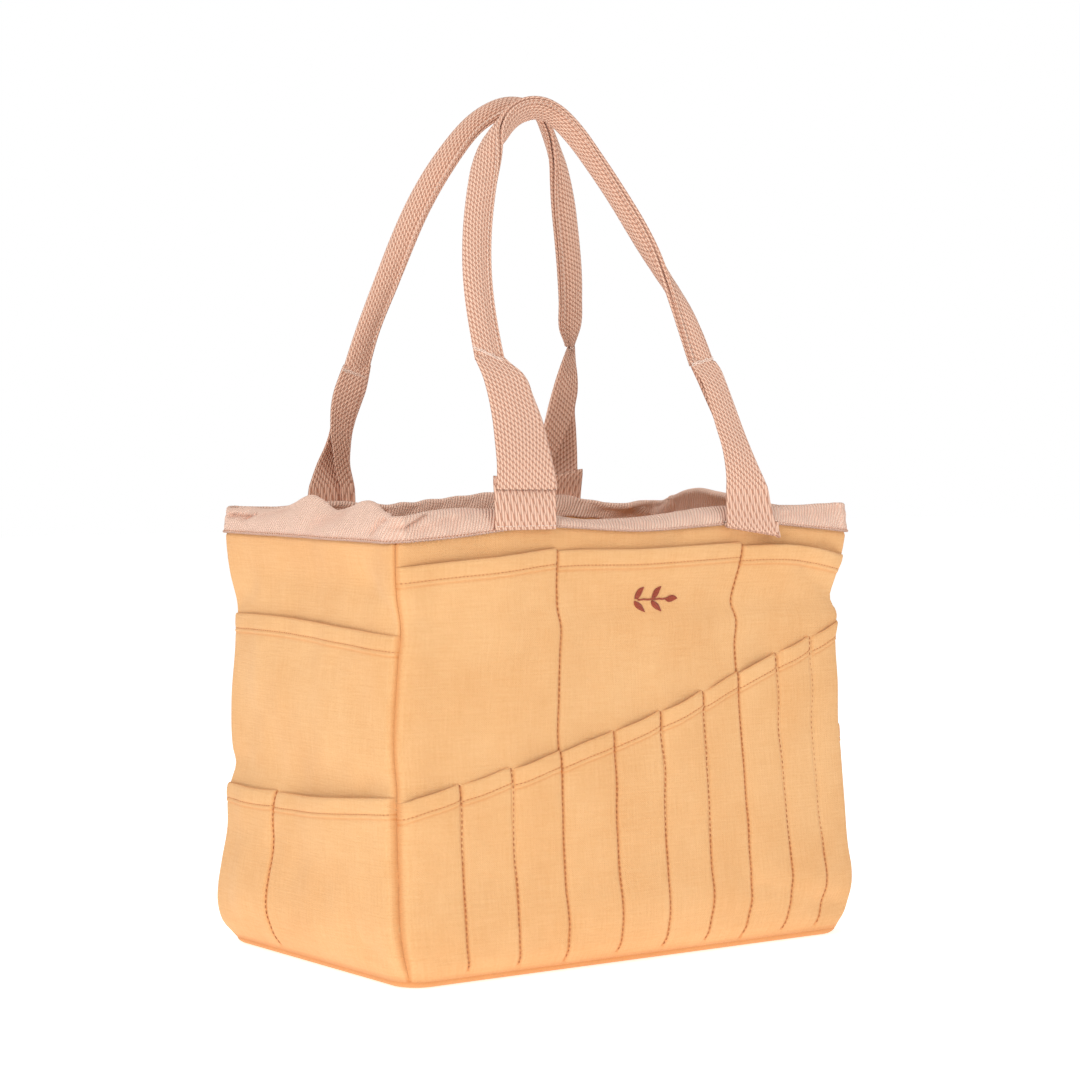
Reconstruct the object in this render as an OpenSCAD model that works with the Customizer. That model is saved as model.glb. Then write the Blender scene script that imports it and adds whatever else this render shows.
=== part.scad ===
// Garden tool bag: an open canvas tote on a flat stiffened base, with two tiers of tool
// pockets on every side, a tape round its mouth and two webbing handles that swing outwards.
// X runs along the length, the front is -Y, and Z = 0 is the underside of the base.

/* [Body] */
// Length over the canvas walls
body_w = 286; // [270:1:320]
// Depth over the canvas walls
body_d = 168; // [150:1:190]
// Height of the lower edge of the rim tape
rim_z = 225; // [222:1:250]
// Thickness of a canvas wall
wall_t = 2; // [1.5:0.1:3]
// Thickness of the base cloth
base_t = 2; // [1.5:0.1:3]
// Distance that the base cloth reaches past the walls
base_out = 8; // [6:1:11]
// Thickness of the board that stiffens the base
board_t = 2.5; // [1.5:0.5:4]
// Thickness of the cloth that holds the board down
lining_t = 1; // [0.6:0.1:1.5]

/* [Rim tape] */
// Height of the tape on each side of the wall
rim_h = 20; // [15:1:30]
// Thickness of the tape
tape_t = 1.5; // [1:0.1:2]

/* [Pockets] */
// Clear gap between a pocket's cloth and the cloth behind it
pocket_gap = 4.5; // [4.5:0.5:7]
// Thickness of a pocket's cloth
cloth_t = 1; // [0.8:0.1:1.6]
// Thickness of a sewn seam between two compartments
seam_t = 1.2; // [0.8:0.1:1.6]
// Height of the turned hem along a pocket's mouth
hem_h = 12; // [8:1:14]
// Thickness that the turned hem adds
hem_t = 0.6; // [0.4:0.1:1.5]
// Top of the upper pockets on the long sides
upper_top = 215; // [190:1:218]
// Left end of the slanted pocket's mouth, seen from outside
slant_left = 94; // [60:1:110]
// Right end of the slanted pocket's mouth, seen from outside
slant_right = 173; // [130:1:180]
// Top of the lower pocket on the back
back_lower_top = 120; // [90:1:150]
// Top of the upper pockets on the short sides
side_upper_top = 178; // [160:1:200]
// Top of the lower pocket on the left side
left_lower_top = 92; // [60:1:140]
// Top of the lower pocket on the right side
right_lower_top = 114; // [60:1:140]

/* [Handles] */
// Width of the webbing
web_w = 38; // [30:1:40]
// Thickness of the webbing
web_t = 2.2; // [1.5:0.1:3]
// Distance between the two legs of one handle
leg_span = 150; // [130:1:170]
// Height of the bar tacks, where the webbing starts to be folded in half
tack_z = 315; // [300:1:330]
// Height of the middle of the grip at its top
apex_z = 452; // [430:1:480]
// Width of the folded grip
grip_w = 18; // [14:1:19]
// Thickness of the folded grip
grip_t = 5; // [4.4:0.2:7]

/* [Hidden] */

canvas = "sandybrown";
webbing = "rosybrown";
seam_thread = "peru";

tape_clear = 0.1;            // between the strips of the tape
inner_w = body_w - 2 * wall_t;
inner_d = body_d - 2 * wall_t;
rim_top = rim_z + rim_h;
wall_top = rim_top - tape_t;
base_corner_r = 18;
board_corner_r = 4;
board_margin = 1;            // between the board and the walls

// Distances of the pocket cloths from the wall's outer face
upper_offset = pocket_gap;
lower_offset = upper_offset + cloth_t + pocket_gap;

// Compartment seams, from the middle of a face towards its right, seen from outside. The slanted
// pocket has narrower slots under each compartment of the upper pocket.
bay_edges = [-body_w / 2, -52, 66, body_w / 2];
slots_in_bay = [3, 4, 3];
front_upper_divides = [bay_edges[1], bay_edges[2]];
front_lower_divides = [
    for (bay = [0:2], i = [1:slots_in_bay[bay]])
        if (bay < 2 || i < slots_in_bay[bay])
            bay_edges[bay] + i * (bay_edges[bay + 1] - bay_edges[bay]) / slots_in_bay[bay]
];
back_upper_divides = [-body_w / 6, body_w / 6];
back_lower_divides = [for (i = [-2:2]) i * body_w / 6];
left_lower_divides = [-25];
right_lower_divides = [25];
front_lower_mouth = [slant_left, slant_right];
back_lower_mouth = [back_lower_top, back_lower_top];

// ---------- canvas body ----------

module box_between(low, high) {
    translate(low) cube(high - low);
}

module long_panel(side) {
    y = side * (body_d - wall_t) / 2;
    box_between([-body_w / 2, y - wall_t / 2, base_t], [body_w / 2, y + wall_t / 2, wall_top]);
}

module short_panel(side) {
    x = side * (body_w - wall_t) / 2;
    box_between([x - wall_t / 2, -inner_d / 2, base_t], [x + wall_t / 2, inner_d / 2, wall_top]);
}

module rounded_slab(w, d, h, r) {
    linear_extrude(h) {
        square([w - 2 * r, d], center = true);
        square([w, d - 2 * r], center = true);
        for (sx = [-1, 1], sy = [-1, 1])
            translate([sx * (w / 2 - r), sy * (d / 2 - r)]) circle(r = r, $fn = 48);
    }
}

module base_panel() {
    rounded_slab(body_w + 2 * base_out, body_d + 2 * base_out, base_t, base_corner_r);
}

module base_board() {
    translate([0, 0, base_t])
        rounded_slab(inner_w - 2 * board_margin, inner_d - 2 * board_margin, board_t, board_corner_r);
}

module base_lining() {
    z = base_t + board_t;
    box_between([-inner_w / 2, -inner_d / 2, z], [inner_w / 2, inner_d / 2, z + lining_t]);
}

// One straight side of a rectangular ring round the middle of the bag. The front and back sides
// are as long as the ring, and the left and right ones fit between them.
module ring_side(outer, inner, low, high, side, along) {
    outer_half = outer / 2;
    inner_half = inner / 2;
    if (along == "x")
        box_between([-outer_half[0], side > 0 ? inner_half[1] : -outer_half[1], low],
                    [outer_half[0], side > 0 ? outer_half[1] : -inner_half[1], high]);
    else
        box_between([side > 0 ? inner_half[0] : -outer_half[0], tape_clear - inner_half[1], low],
                    [side > 0 ? outer_half[0] : -inner_half[0], inner_half[1] - tape_clear, high]);
}

// The tape is folded over the top of the walls, so its section is an upside-down U. Its outer
// fold, its inner fold and its top are strips of their own, so that the slot between them is open.
module rim_tape() {
    around = 2 * tape_t;
    outside = [body_w + around, body_d + around];
    inside = [inner_w - around, inner_d - around];
    fold_top = wall_top - tape_clear;
    for (side = [-1, 1], along = ["x", "y"]) {
        ring_side(outside, [body_w, body_d], rim_z, fold_top, side, along);
        ring_side([inner_w, inner_d], inside, rim_z, fold_top, side, along);
        ring_side(outside, inside, wall_top, rim_top, side, along);
    }
}

// ---------- pockets ----------

// Turns a shape drawn on the front wall's outer face onto another face. Outwards is -Y there.
module on_face(face) {
    turn = face == "front" ? 0 : face == "back" ? 180 : face == "left" ? -90 : 90;
    half = face == "front" || face == "back" ? body_d / 2 : body_w / 2;
    rotate([0, 0, turn]) translate([0, -half, 0]) children();
}

// An outline in x and z, made thick outwards from the given offset.
module upright(outline, offset, thickness) {
    translate([0, -offset, 0]) rotate([90, 0, 0]) linear_extrude(thickness) polygon(outline);
}

// Height of a pocket's mouth at x; mouth is its height at the left and right ends.
function mouth_z(x, w, mouth) = mouth[0] + (mouth[1] - mouth[0]) * (x / w + 0.5);

// The cloth of one pocket, with its mouth turned over as a hem.
module pocket(w, mouth, offset) {
    half = w / 2;
    hem = [hem_h, hem_h];
    foot = mouth - hem;
    upright([[-half, base_t], [half, base_t], [half, mouth[1]], [-half, mouth[0]]], offset, cloth_t);
    upright([[-half, foot[0]], [half, foot[1]], [half, mouth[1]], [-half, mouth[0]]],
            offset + cloth_t, hem_t);
}

// The seams that close a pocket: along its foot, up both ends, and between its compartments.
// The upright ones stop just short of the one along the foot.
module pocket_seams(w, mouth, offset, divides) {
    half = w / 2;
    foot = base_t + seam_t;
    end = half - seam_t / 2;
    clear = 0.2;
    upright([[-half, base_t], [half, base_t], [half, foot], [-half, foot]], offset - pocket_gap, pocket_gap);
    for (x = concat([-end], divides, [end])) {
        left = x - seam_t / 2;
        right = x + seam_t / 2;
        upright([[left, foot + clear], [right, foot + clear],
                 [right, mouth_z(right, w, mouth)], [left, mouth_z(left, w, mouth)]],
                offset - pocket_gap, pocket_gap);
    }
}

module long_upper_pocket(face) {
    on_face(face) pocket(body_w, [upper_top, upper_top], upper_offset);
}

module long_upper_seams(face, divides) {
    on_face(face) pocket_seams(body_w, [upper_top, upper_top], upper_offset, divides);
}

module long_lower_pocket(face, mouth) {
    on_face(face) pocket(body_w, mouth, lower_offset);
}

module long_lower_seams(face, mouth, divides) {
    on_face(face) pocket_seams(body_w, mouth, lower_offset, divides);
}

module side_upper_pocket(face) {
    on_face(face) pocket(body_d, [side_upper_top, side_upper_top], upper_offset);
}

module side_upper_seams(face) {
    on_face(face) pocket_seams(body_d, [side_upper_top, side_upper_top], upper_offset, []);
}

module side_lower_pocket(face, top) {
    on_face(face) pocket(body_d, [top, top], lower_offset);
}

module side_lower_seams(face, top, divides) {
    on_face(face) pocket_seams(body_d, [top, top], lower_offset, divides);
}

// A small sprig of five leaves on a stem, embroidered on the middle front pocket.
sprig_x = 12;
sprig_z = 190;
sprig_t = 0.6;
stem_l = 26;
stem_w = 0.8;
leaf_l = 8;
leaf_h = 3.2;
leaf_turn = 48;

// Two arcs that meet in a point at each end, the first of them at the origin.
module leaf() {
    r = (leaf_l * leaf_l + leaf_h * leaf_h) / (4 * leaf_h);
    linear_extrude(sprig_t) intersection_for(s = [-1, 1])
        translate([leaf_l / 2, s * (r - leaf_h / 2)]) circle(r = r, $fn = 64);
}

module embroidered_sprig() {
    on_face("front") translate([sprig_x, -upper_offset - cloth_t, sprig_z]) rotate([90, 0, 0]) {
        translate([-stem_l + leaf_l, -stem_w / 2, 0]) cube([stem_l, stem_w, sprig_t]);
        translate([leaf_l, 0, 0]) leaf();
        for (x = [-leaf_l * 1.5, -leaf_l / 8], s = [-1, 1])
            translate([x, s * stem_w * 0.75, 0]) rotate([0, 0, s * leaf_turn]) leaf();
    }
}

// ---------- handles ----------
// They are drawn for the front, and turned half way round for the back.

strap_end_h = 5;             // height of the sewn end of the webbing
hinge_clear = 0.3;           // between the sewn end and the leg that swings above it
leg_y = -(body_d / 2 + tape_t + web_t / 2);     // middle of the webbing where it lies on the tape
leg_foot = rim_z + strap_end_h + hinge_clear;
lean_from = rim_top + 2.5;   // the handle leans inwards above this height
lean_ease = 0.08;            // share of its height over which the lean starts
apex_y = -7;                 // the two grips all but touch in the middle
leg_narrowing = 2;           // each leg comes in by this much at its bar tack
grip_slim = 0.13;            // how much slimmer the arch is than an ellipse
grip_shift = 3;              // the arch's top is this far to the right
fold_l = 18;                 // length over which the webbing folds up, below its bar tack
leg_rings = 30;
grip_rings = 64;

// Direction across the grip, towards its sewn edges, from the left bar tack over the top to the
// right one. The grip turns over once on the way.
grip_turns = [[1, 0, 0], [1, -0.3, 0.2], [0, -0.5, 0.9], [0.7, -0.8, 0.5], [0, -1, 0], [-1, 0, 0]];

function unit(v) = v / norm(v);
function mix(a, b, t) = a + (b - a) * t;
function smooth(t) = let (c = min(1, max(0, t))) c * c * (3 - 2 * c);
function eased(t) = t <= 0 ? 0
    : (t < lean_ease ? t * t / (2 * lean_ease) : t - lean_ease / 2) / (1 - lean_ease / 2);
function lean_y(z) = mix(leg_y, apex_y, eased((z - lean_from) / (apex_z - lean_from)));

// Middle line of a leg, from t = 0 at its foot, where it is upright, to 1 at its bar tack. side is
// -1 on the left.
function leg_point(side, t) = let (z = mix(leg_foot, tack_z, t))
    [side * (leg_span / 2 - leg_narrowing * t * t) + grip_shift * t * t, lean_y(z), z];

// Middle line of the grip, from a = 180 at its left bar tack, through 90 at its top, to 0.
function grip_point(a) = let (
    z = tack_z + (apex_z - tack_z) * sin(a),
    half = leg_span / 2 - leg_narrowing)
    [grip_shift + half * cos(a) * (1 - grip_slim * abs(sin(2 * a))), lean_y(z), z];

function grip_across(a) = let (
    s = (180 - a) / 180 * (len(grip_turns) - 1),
    i = min(floor(s), len(grip_turns) - 2))
    mix(grip_turns[i], grip_turns[i + 1], smooth(s - i));

// How far the webbing is folded, from 0 to 1, at t on a leg.
function folded(t) = smooth(1 - (1 - t) * (tack_z - leg_foot) / fold_l);
function leg_w(t) = mix(web_w, grip_w, folded(t));
function leg_t(t) = mix(web_t, grip_t, folded(t));
function leg_tangent(side, t) = unit(leg_point(side, t + 0.01) - leg_point(side, t - 0.01));
function grip_tangent(a) = unit(grip_point(a - 0.5) - grip_point(a + 0.5));

// One ring round the webbing: a rectangle of w by t whose corners are cut.
function ring(p, tangent, across, w, t) = let (
    v = unit(across - (across * tangent) * tangent),
    n = cross(tangent, v),
    cut = t * 0.3,
    a = w / 2,
    b = t / 2)
    [for (q = [[a, b - cut], [a - cut, b], [cut - a, b], [-a, b - cut],
               [-a, cut - b], [cut - a, -b], [a - cut, -b], [a, cut - b]])
        p + q[0] * v + q[1] * n];

function leg_ring(side, t, across) =
    ring(leg_point(side, t), -side * leg_tangent(side, t), across, leg_w(t), leg_t(t));

// A solid through rings of points, closed at both ends.
module swept(rings) {
    n = len(rings[0]);
    last = len(rings) - 1;
    polyhedron(
        points = [for (r = rings) each r],
        faces = concat(
            [[for (i = [0:n - 1]) i]],
            [for (k = [0:last - 1], i = [0:n - 1]) let (j = (i + 1) % n) each [
                [k * n + i, (k + 1) * n + i, (k + 1) * n + j],
                [k * n + i, (k + 1) * n + j, k * n + j]]],
            [[for (i = [n - 1:-1:0]) last * n + i]]));
}

module handle() {
    swept(concat(
        [for (i = [0:leg_rings - 1]) leg_ring(-1, i / leg_rings, grip_turns[0])],
        [for (i = [0:grip_rings]) let (a = 180 - 180 * i / grip_rings)
            ring(grip_point(a), grip_tangent(a), grip_across(a), grip_w, grip_t)],
        [for (i = [leg_rings - 1:-1:0]) leg_ring(1, i / leg_rings, grip_turns[len(grip_turns) - 1])]));
}

tack_l = 2.4;
tack_proud = 0.5;
tack_drop = 3;               // below the height where the fold is complete
tack_clear = 0.1;            // between the tack and the webbing

// Bar tacks: a row of thread across the outside of each leg where it starts to be folded.
module handle_tacks() {
    for (side = [-1, 1]) {
        t = 1 - tack_drop / (tack_z - leg_foot);
        tangent = leg_tangent(side, t);
        lean = atan2(tangent[1], tangent[2]);
        translate(leg_point(side, t)) rotate([-lean, 0, 0])
            translate([-grip_w / 2, -leg_t(1) / 2 - tack_clear - tack_proud, -tack_l / 2])
                cube([grip_w, tack_proud, tack_l]);
    }
}

// The ends of the webbing, sewn flat onto the lower edge of the tape.
module strap_ends() {
    for (side = [-1, 1])
        translate([side * leg_span / 2 - web_w / 2, leg_y - web_t / 2, rim_z])
            cube([web_w, web_t, strap_end_h]);
}

module turned_to_back() {
    rotate([0, 0, 180]) children();
}

// ---------- nodes ----------

color(canvas) long_panel(-1);  // front_panel
color(canvas) long_panel(1);  // back_panel
color(canvas) short_panel(-1);  // left_panel
color(canvas) short_panel(1);  // right_panel
color(canvas) base_panel();
color("dimgray") base_board();
color(canvas) base_lining();
color(webbing) rim_tape();

color(canvas) long_upper_pocket("front");  // front_upper_pocket
color(seam_thread) long_upper_seams("front", front_upper_divides);  // front_upper_seams
color(canvas) long_lower_pocket("front", front_lower_mouth);  // front_lower_pocket
color(seam_thread) long_lower_seams("front", front_lower_mouth, front_lower_divides);  // front_lower_seams
color(canvas) long_upper_pocket("back");  // back_upper_pocket
color(seam_thread) long_upper_seams("back", back_upper_divides);  // back_upper_seams
color(canvas) long_lower_pocket("back", back_lower_mouth);  // back_lower_pocket
color(seam_thread) long_lower_seams("back", back_lower_mouth, back_lower_divides);  // back_lower_seams
color(canvas) side_upper_pocket("left");  // left_upper_pocket
color(seam_thread) side_upper_seams("left");  // left_upper_seams
color(canvas) side_lower_pocket("left", left_lower_top);  // left_lower_pocket
color(seam_thread) side_lower_seams("left", left_lower_top, left_lower_divides);  // left_lower_seams
color(canvas) side_upper_pocket("right");  // right_upper_pocket
color(seam_thread) side_upper_seams("right");  // right_upper_seams
color(canvas) side_lower_pocket("right", right_lower_top);  // right_lower_pocket
color(seam_thread) side_lower_seams("right", right_lower_top, right_lower_divides);  // right_lower_seams

color("firebrick") embroidered_sprig();
color(webbing) strap_ends();  // front_strap_ends
color(webbing) handle();  // front_handle
color("mistyrose") handle_tacks();  // front_handle_tacks
color(webbing) turned_to_back() strap_ends();  // back_strap_ends
color(webbing) turned_to_back() handle();  // back_handle
color("mistyrose") turned_to_back() handle_tacks();  // back_handle_tacks
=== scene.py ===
import math

import bpy
import numpy as np
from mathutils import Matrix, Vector


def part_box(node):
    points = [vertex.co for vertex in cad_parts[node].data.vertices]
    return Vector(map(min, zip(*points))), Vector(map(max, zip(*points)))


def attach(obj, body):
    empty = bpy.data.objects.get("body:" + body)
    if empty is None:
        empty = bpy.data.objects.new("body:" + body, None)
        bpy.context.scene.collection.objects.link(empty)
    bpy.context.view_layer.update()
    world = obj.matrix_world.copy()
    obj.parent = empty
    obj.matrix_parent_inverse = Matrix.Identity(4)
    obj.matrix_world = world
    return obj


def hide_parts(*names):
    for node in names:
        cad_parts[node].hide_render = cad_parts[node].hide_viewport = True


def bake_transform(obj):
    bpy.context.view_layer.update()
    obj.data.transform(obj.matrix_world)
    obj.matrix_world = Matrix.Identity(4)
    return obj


# The looks of a garden tool bag: canvas walls with two tiers of sewn pockets, a twill tape folded
# over the mouth and two webbing handles. Lengths are in millimetres until a mesh is made.
# A side of the bag is drawn in its own x and z: x runs to the right seen from outside, z up.
# Tables marked as measured hold places read off the photograph by eye, which a scratch script
# turned into millimetres. They aren't worked out from the frame.

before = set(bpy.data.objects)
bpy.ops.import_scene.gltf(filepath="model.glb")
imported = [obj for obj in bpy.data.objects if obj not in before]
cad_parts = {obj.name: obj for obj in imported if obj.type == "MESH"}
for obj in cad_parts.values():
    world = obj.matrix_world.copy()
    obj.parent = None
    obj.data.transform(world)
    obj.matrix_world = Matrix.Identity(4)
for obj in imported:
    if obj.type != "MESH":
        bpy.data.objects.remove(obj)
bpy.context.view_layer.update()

MM = 1000.0


# ---------- sizes from the frame ----------

def box_mm(node):
    low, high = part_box(node)
    return np.array(low) * MM, np.array(high) * MM


def top_of(node):
    return box_mm(node)[1][2]


HALF_W = box_mm("front_panel")[1][0]
HALF_D = -box_mm("front_panel")[0][1]
RIM_Z, RIM_TOP = box_mm("rim_tape")[0][2], box_mm("rim_tape")[1][2]
LINING_Z = top_of("base_lining")
STRAP_LOW, STRAP_HIGH = box_mm("front_strap_ends")
SPRIG_LOW, SPRIG_HIGH = box_mm("embroidered_sprig")

SEAM_Z = 3.5                 # height of the seam between the walls and the base cloth
WALL_T = 1.8
CLOTH_T = 0.9
BASE_T = 1.4
UPPER_LEVEL = 1.2            # how far the pocket cloths stand off the wall's surface
LOWER_LEVEL = 2.4
SEWN_IN = 8.0                # cloth inside the seam at each edge of a side
HEM_STITCH = 8.2             # distance of the hem's stitching below a pocket's mouth
HEM_AND_FOOT = 22.0          # cloth turned in at a pocket's mouth and foot together
BASE_R = 16.0                # plan radius of the base's corners
LONG_WAVE = 90.0             # lengths of the waves in a side's cloth
SHORT_WAVE = 34.0


# ---------- curves and fields ----------

def mix(a, b, t):
    return a + (b - a) * t


def smooth(t):
    t = np.clip(t, 0.0, 1.0)
    return t * t * (3 - 2 * t)


def bell(distance, width):
    return np.exp(-(distance / width) ** 2)


def hermite(start, end, start_slope, end_slope, t):
    """A smooth way from start to end as t goes from 0 to 1, with a given slope at each end."""
    return ((2 * t ** 3 - 3 * t ** 2 + 1) * start + (t ** 3 - 2 * t ** 2 + t) * start_slope
            + (3 * t ** 2 - 2 * t ** 3) * end + (t ** 3 - t ** 2) * end_slope)


def through(keys, t):
    """Values at t of a smooth curve through keys, each (t, value, ...)."""
    keys = np.array(sorted(keys), float)
    at, values = keys[:, 0], keys[:, 1:]
    slopes = np.gradient(values, at, axis=0)
    t = np.clip(np.asarray(t, float), at[0], at[-1])
    i = np.clip(np.searchsorted(at, t) - 1, 0, len(at) - 2)
    step = (at[i + 1] - at[i])[..., None]
    share = (t - at[i])[..., None] / step
    found = hermite(values[i], values[i + 1], step * slopes[i], step * slopes[i + 1], share)
    return found[..., 0] if found.shape[-1] == 1 else found


def ripple(x, z, seed, length):
    """Slow waves in several directions, between about -1 and 1."""
    rng = np.random.default_rng(seed)
    waves = 6
    total = 0.0
    for _ in range(waves):
        turn = rng.uniform(0, math.pi)
        phase = rng.uniform(0, 2 * math.pi)
        wave = length * rng.uniform(0.6, 1.5)
        total = total + np.sin((x * math.cos(turn) + z * math.sin(turn)) * 2 * math.pi / wave + phase)
    return total / math.sqrt(waves)


def fold_field(x, z, folds):
    """Soft creases along straight lines; each is (x0, z0, x1, z1, depth, width)."""
    total = 0.0
    for x0, z0, x1, z1, depth, width in folds:
        along = np.array([x1 - x0, z1 - z0], float)
        t = ((x - x0) * along[0] + (z - z0) * along[1]) / (along @ along)
        near = np.clip(t, 0, 1)
        gap = np.hypot(x - x0 - near * along[0], z - z0 - near * along[1])
        total = total - depth * bell(gap, width)
    return total


# ---------- meshes ----------

def grid_faces(rows, cols, start=0, flip=False):
    """Quads of a grid whose rows run down and whose columns run right, seen from its front."""
    r, c = np.meshgrid(np.arange(rows - 1), np.arange(cols - 1), indexing="ij")
    a = (start + r * cols + c).ravel()
    quads = np.stack([a, a + cols, a + cols + 1, a + 1], 1)
    return quads[:, ::-1] if flip else quads


def ring_faces(rings, sides, start=0, wrap=False):
    """Quads between rings of points. With wrap, the last ring joins the first one."""
    k, i = np.meshgrid(np.arange(rings if wrap else rings - 1), np.arange(sides), indexing="ij")
    k, i = k.ravel(), i.ravel()
    j, after = (i + 1) % sides, (k + 1) % rings
    return start + np.stack([k * sides + i, k * sides + j, after * sides + j, after * sides + i], 1)


def tube_faces(rings, sides, start=0):
    """Faces of a closed tube: quads between its rings, and a cap at each end."""
    first = list(range(start, start + sides))
    last = [(rings - 1) * sides + i for i in first]
    return [*map(list, ring_faces(rings, sides, start)), first[::-1], last]


def round_rings(middle, radius, side, up, sides):
    """A ring of points round each point of a line. The radius is one number, or one per ring and side."""
    turn = np.arange(sides)[:, None] * 2 * math.pi / sides
    spokes = np.cos(turn) * side[:, None, :] + np.sin(turn) * up[:, None, :]
    return middle[:, None, :] + np.asarray(radius)[..., None] * spokes


def piece(name, points, faces, slot, uv=None, crease=None):
    """A smooth mesh object from points in millimetres. uv, in millimetres too, is given per point
    or per corner of each face."""
    mesh = bpy.data.meshes.new(name)
    mesh.from_pydata((np.asarray(points, float) / MM).tolist(), [], [list(map(int, f)) for f in faces])
    corners = np.zeros(len(mesh.loops), np.int64)
    mesh.loops.foreach_get("vertex_index", corners)
    if uv is not None:
        layer = mesh.uv_layers.new(name="cloth")
        at_corners = uv if np.ndim(uv) == 3 else np.asarray(uv, float)[corners]
        layer.data.foreach_set("uv", (at_corners / MM).astype(np.float32).ravel())
    # The attribute holds painted shade, which the canvas and tape materials blend in.
    if crease is not None:
        attribute = mesh.attributes.new("crease", "FLOAT", "POINT")
        attribute.data.foreach_set("value", np.clip(crease, 0, 1).astype(np.float32))
    mesh.shade_smooth()
    mesh.materials.append(LOOKS[slot])
    made = bpy.data.objects.new(name, mesh)
    bpy.context.scene.collection.objects.link(made)
    return made


def canvas_sheet(name, outer, inner, uv, crease):
    """Canvas with a thickness: a front grid and a back grid of points, joined along all four edges."""
    rows, cols = outer.shape[:2]
    n = rows * cols
    o = np.arange(n).reshape(rows, cols)
    rim = np.concatenate([o[0, :-1], o[:-1, -1], o[-1, :0:-1], o[:0:-1, 0]])
    after = np.roll(rim, -1)
    faces = [grid_faces(rows, cols), grid_faces(rows, cols, n, flip=True)]
    faces.append(np.stack([rim, after, after + n, rim + n], 1))
    points = np.concatenate([outer.reshape(-1, 3), inner.reshape(-1, 3)])
    uv, crease = np.tile(uv.reshape(-1, 2), (2, 1)), np.tile(crease.ravel(), 2)
    return piece(name, points, np.concatenate(faces), "canvas", uv, crease)


def distances(points):
    """How far along a line each of its points is."""
    return np.concatenate([[0], np.cumsum(np.linalg.norm(np.diff(points, axis=0), axis=1))])


def resampled(points, pitch):
    """Points along a line, evenly spaced, with their distances from its start."""
    points = np.asarray(points, float)
    lengths = distances(points)
    count = max(2, int(lengths[-1] / pitch) + 1)
    at = np.linspace(0, lengths[-1], count)
    return np.stack([np.interp(at, lengths, points[:, k]) for k in range(3)], 1), at


def looped(points):
    """A ring of points with the first one again at its end."""
    return np.concatenate([points, points[:1]])


def unit(v):
    return v / np.maximum(np.linalg.norm(v, axis=-1, keepdims=True), 1e-9)


# Rings of one stitch: place along it, as a share of its length, then width and height, as shares
# of the thread's radius.
STITCH_RINGS = np.array([(-0.5, 0.35, -0.7), (-0.34, 0.9, 0.0), (0.0, 1.0, 0.35), (0.34, 0.9, 0.0),
                         (0.5, 0.35, -0.7)])
THREAD_SIDES = 5


def thread_dashes(points, outs, pitch, length, radius):
    """Stitches along a line of points with outward directions, as closed tubes: (points, faces)."""
    spots, at = resampled(points, pitch)
    source = distances(points)
    out = unit(np.stack([np.interp(at, source, np.asarray(outs)[:, k]) for k in range(3)], 1))
    ahead = unit(np.gradient(spots, axis=0))
    across = unit(np.cross(out, ahead))
    out = np.cross(ahead, across)
    rings = len(STITCH_RINGS)
    place, wide, high = STITCH_RINGS.T[:, None, :, None]
    middle = spots[:, None] + ahead[:, None] * place * length + out[:, None] * high * radius
    wide = np.tile(wide[0] * radius, (len(spots), 1))
    side, up = across.repeat(rings, 0), out.repeat(rings, 0)
    made = round_rings(middle.reshape(-1, 3), wide, side, up, THREAD_SIDES)
    size = rings * THREAD_SIDES
    faces = [f for i in range(len(spots)) for f in tube_faces(rings, THREAD_SIDES, i * size)]
    return made.reshape(-1, 3), faces


def joined(shells):
    """Several shells in one: each is (points, faces)."""
    starts = np.cumsum([0] + [len(points) for points, _ in shells[:-1]])
    faces = [[start + i for i in f] for start, (_, found) in zip(starts, shells) for f in found]
    return np.concatenate([points for points, _ in shells]), faces


def stitches(name, lines, slot, pitch, length, radius):
    """Rows of stitches; each line is (points, outward directions)."""
    points, faces = joined([thread_dashes(*line, pitch, length, radius) for line in lines])
    return piece(name, points, faces, slot)


# ---------- materials ----------

class Value:
    """A value inside a material; arithmetic on it adds math nodes."""

    def __init__(self, graph, socket):
        self.graph, self.socket = graph, socket

    def __add__(self, other):
        return self.graph.math("ADD", self, other)

    def __sub__(self, other):
        return self.graph.math("SUBTRACT", self, other)

    def __mul__(self, other):
        return self.graph.math("MULTIPLY", self, other)

    def __truediv__(self, other):
        return self.graph.math("DIVIDE", self, other)

    def __pow__(self, other):
        return self.graph.math("POWER", self, other)

    def __abs__(self):
        return self.graph.math("ABSOLUTE", self)


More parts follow.
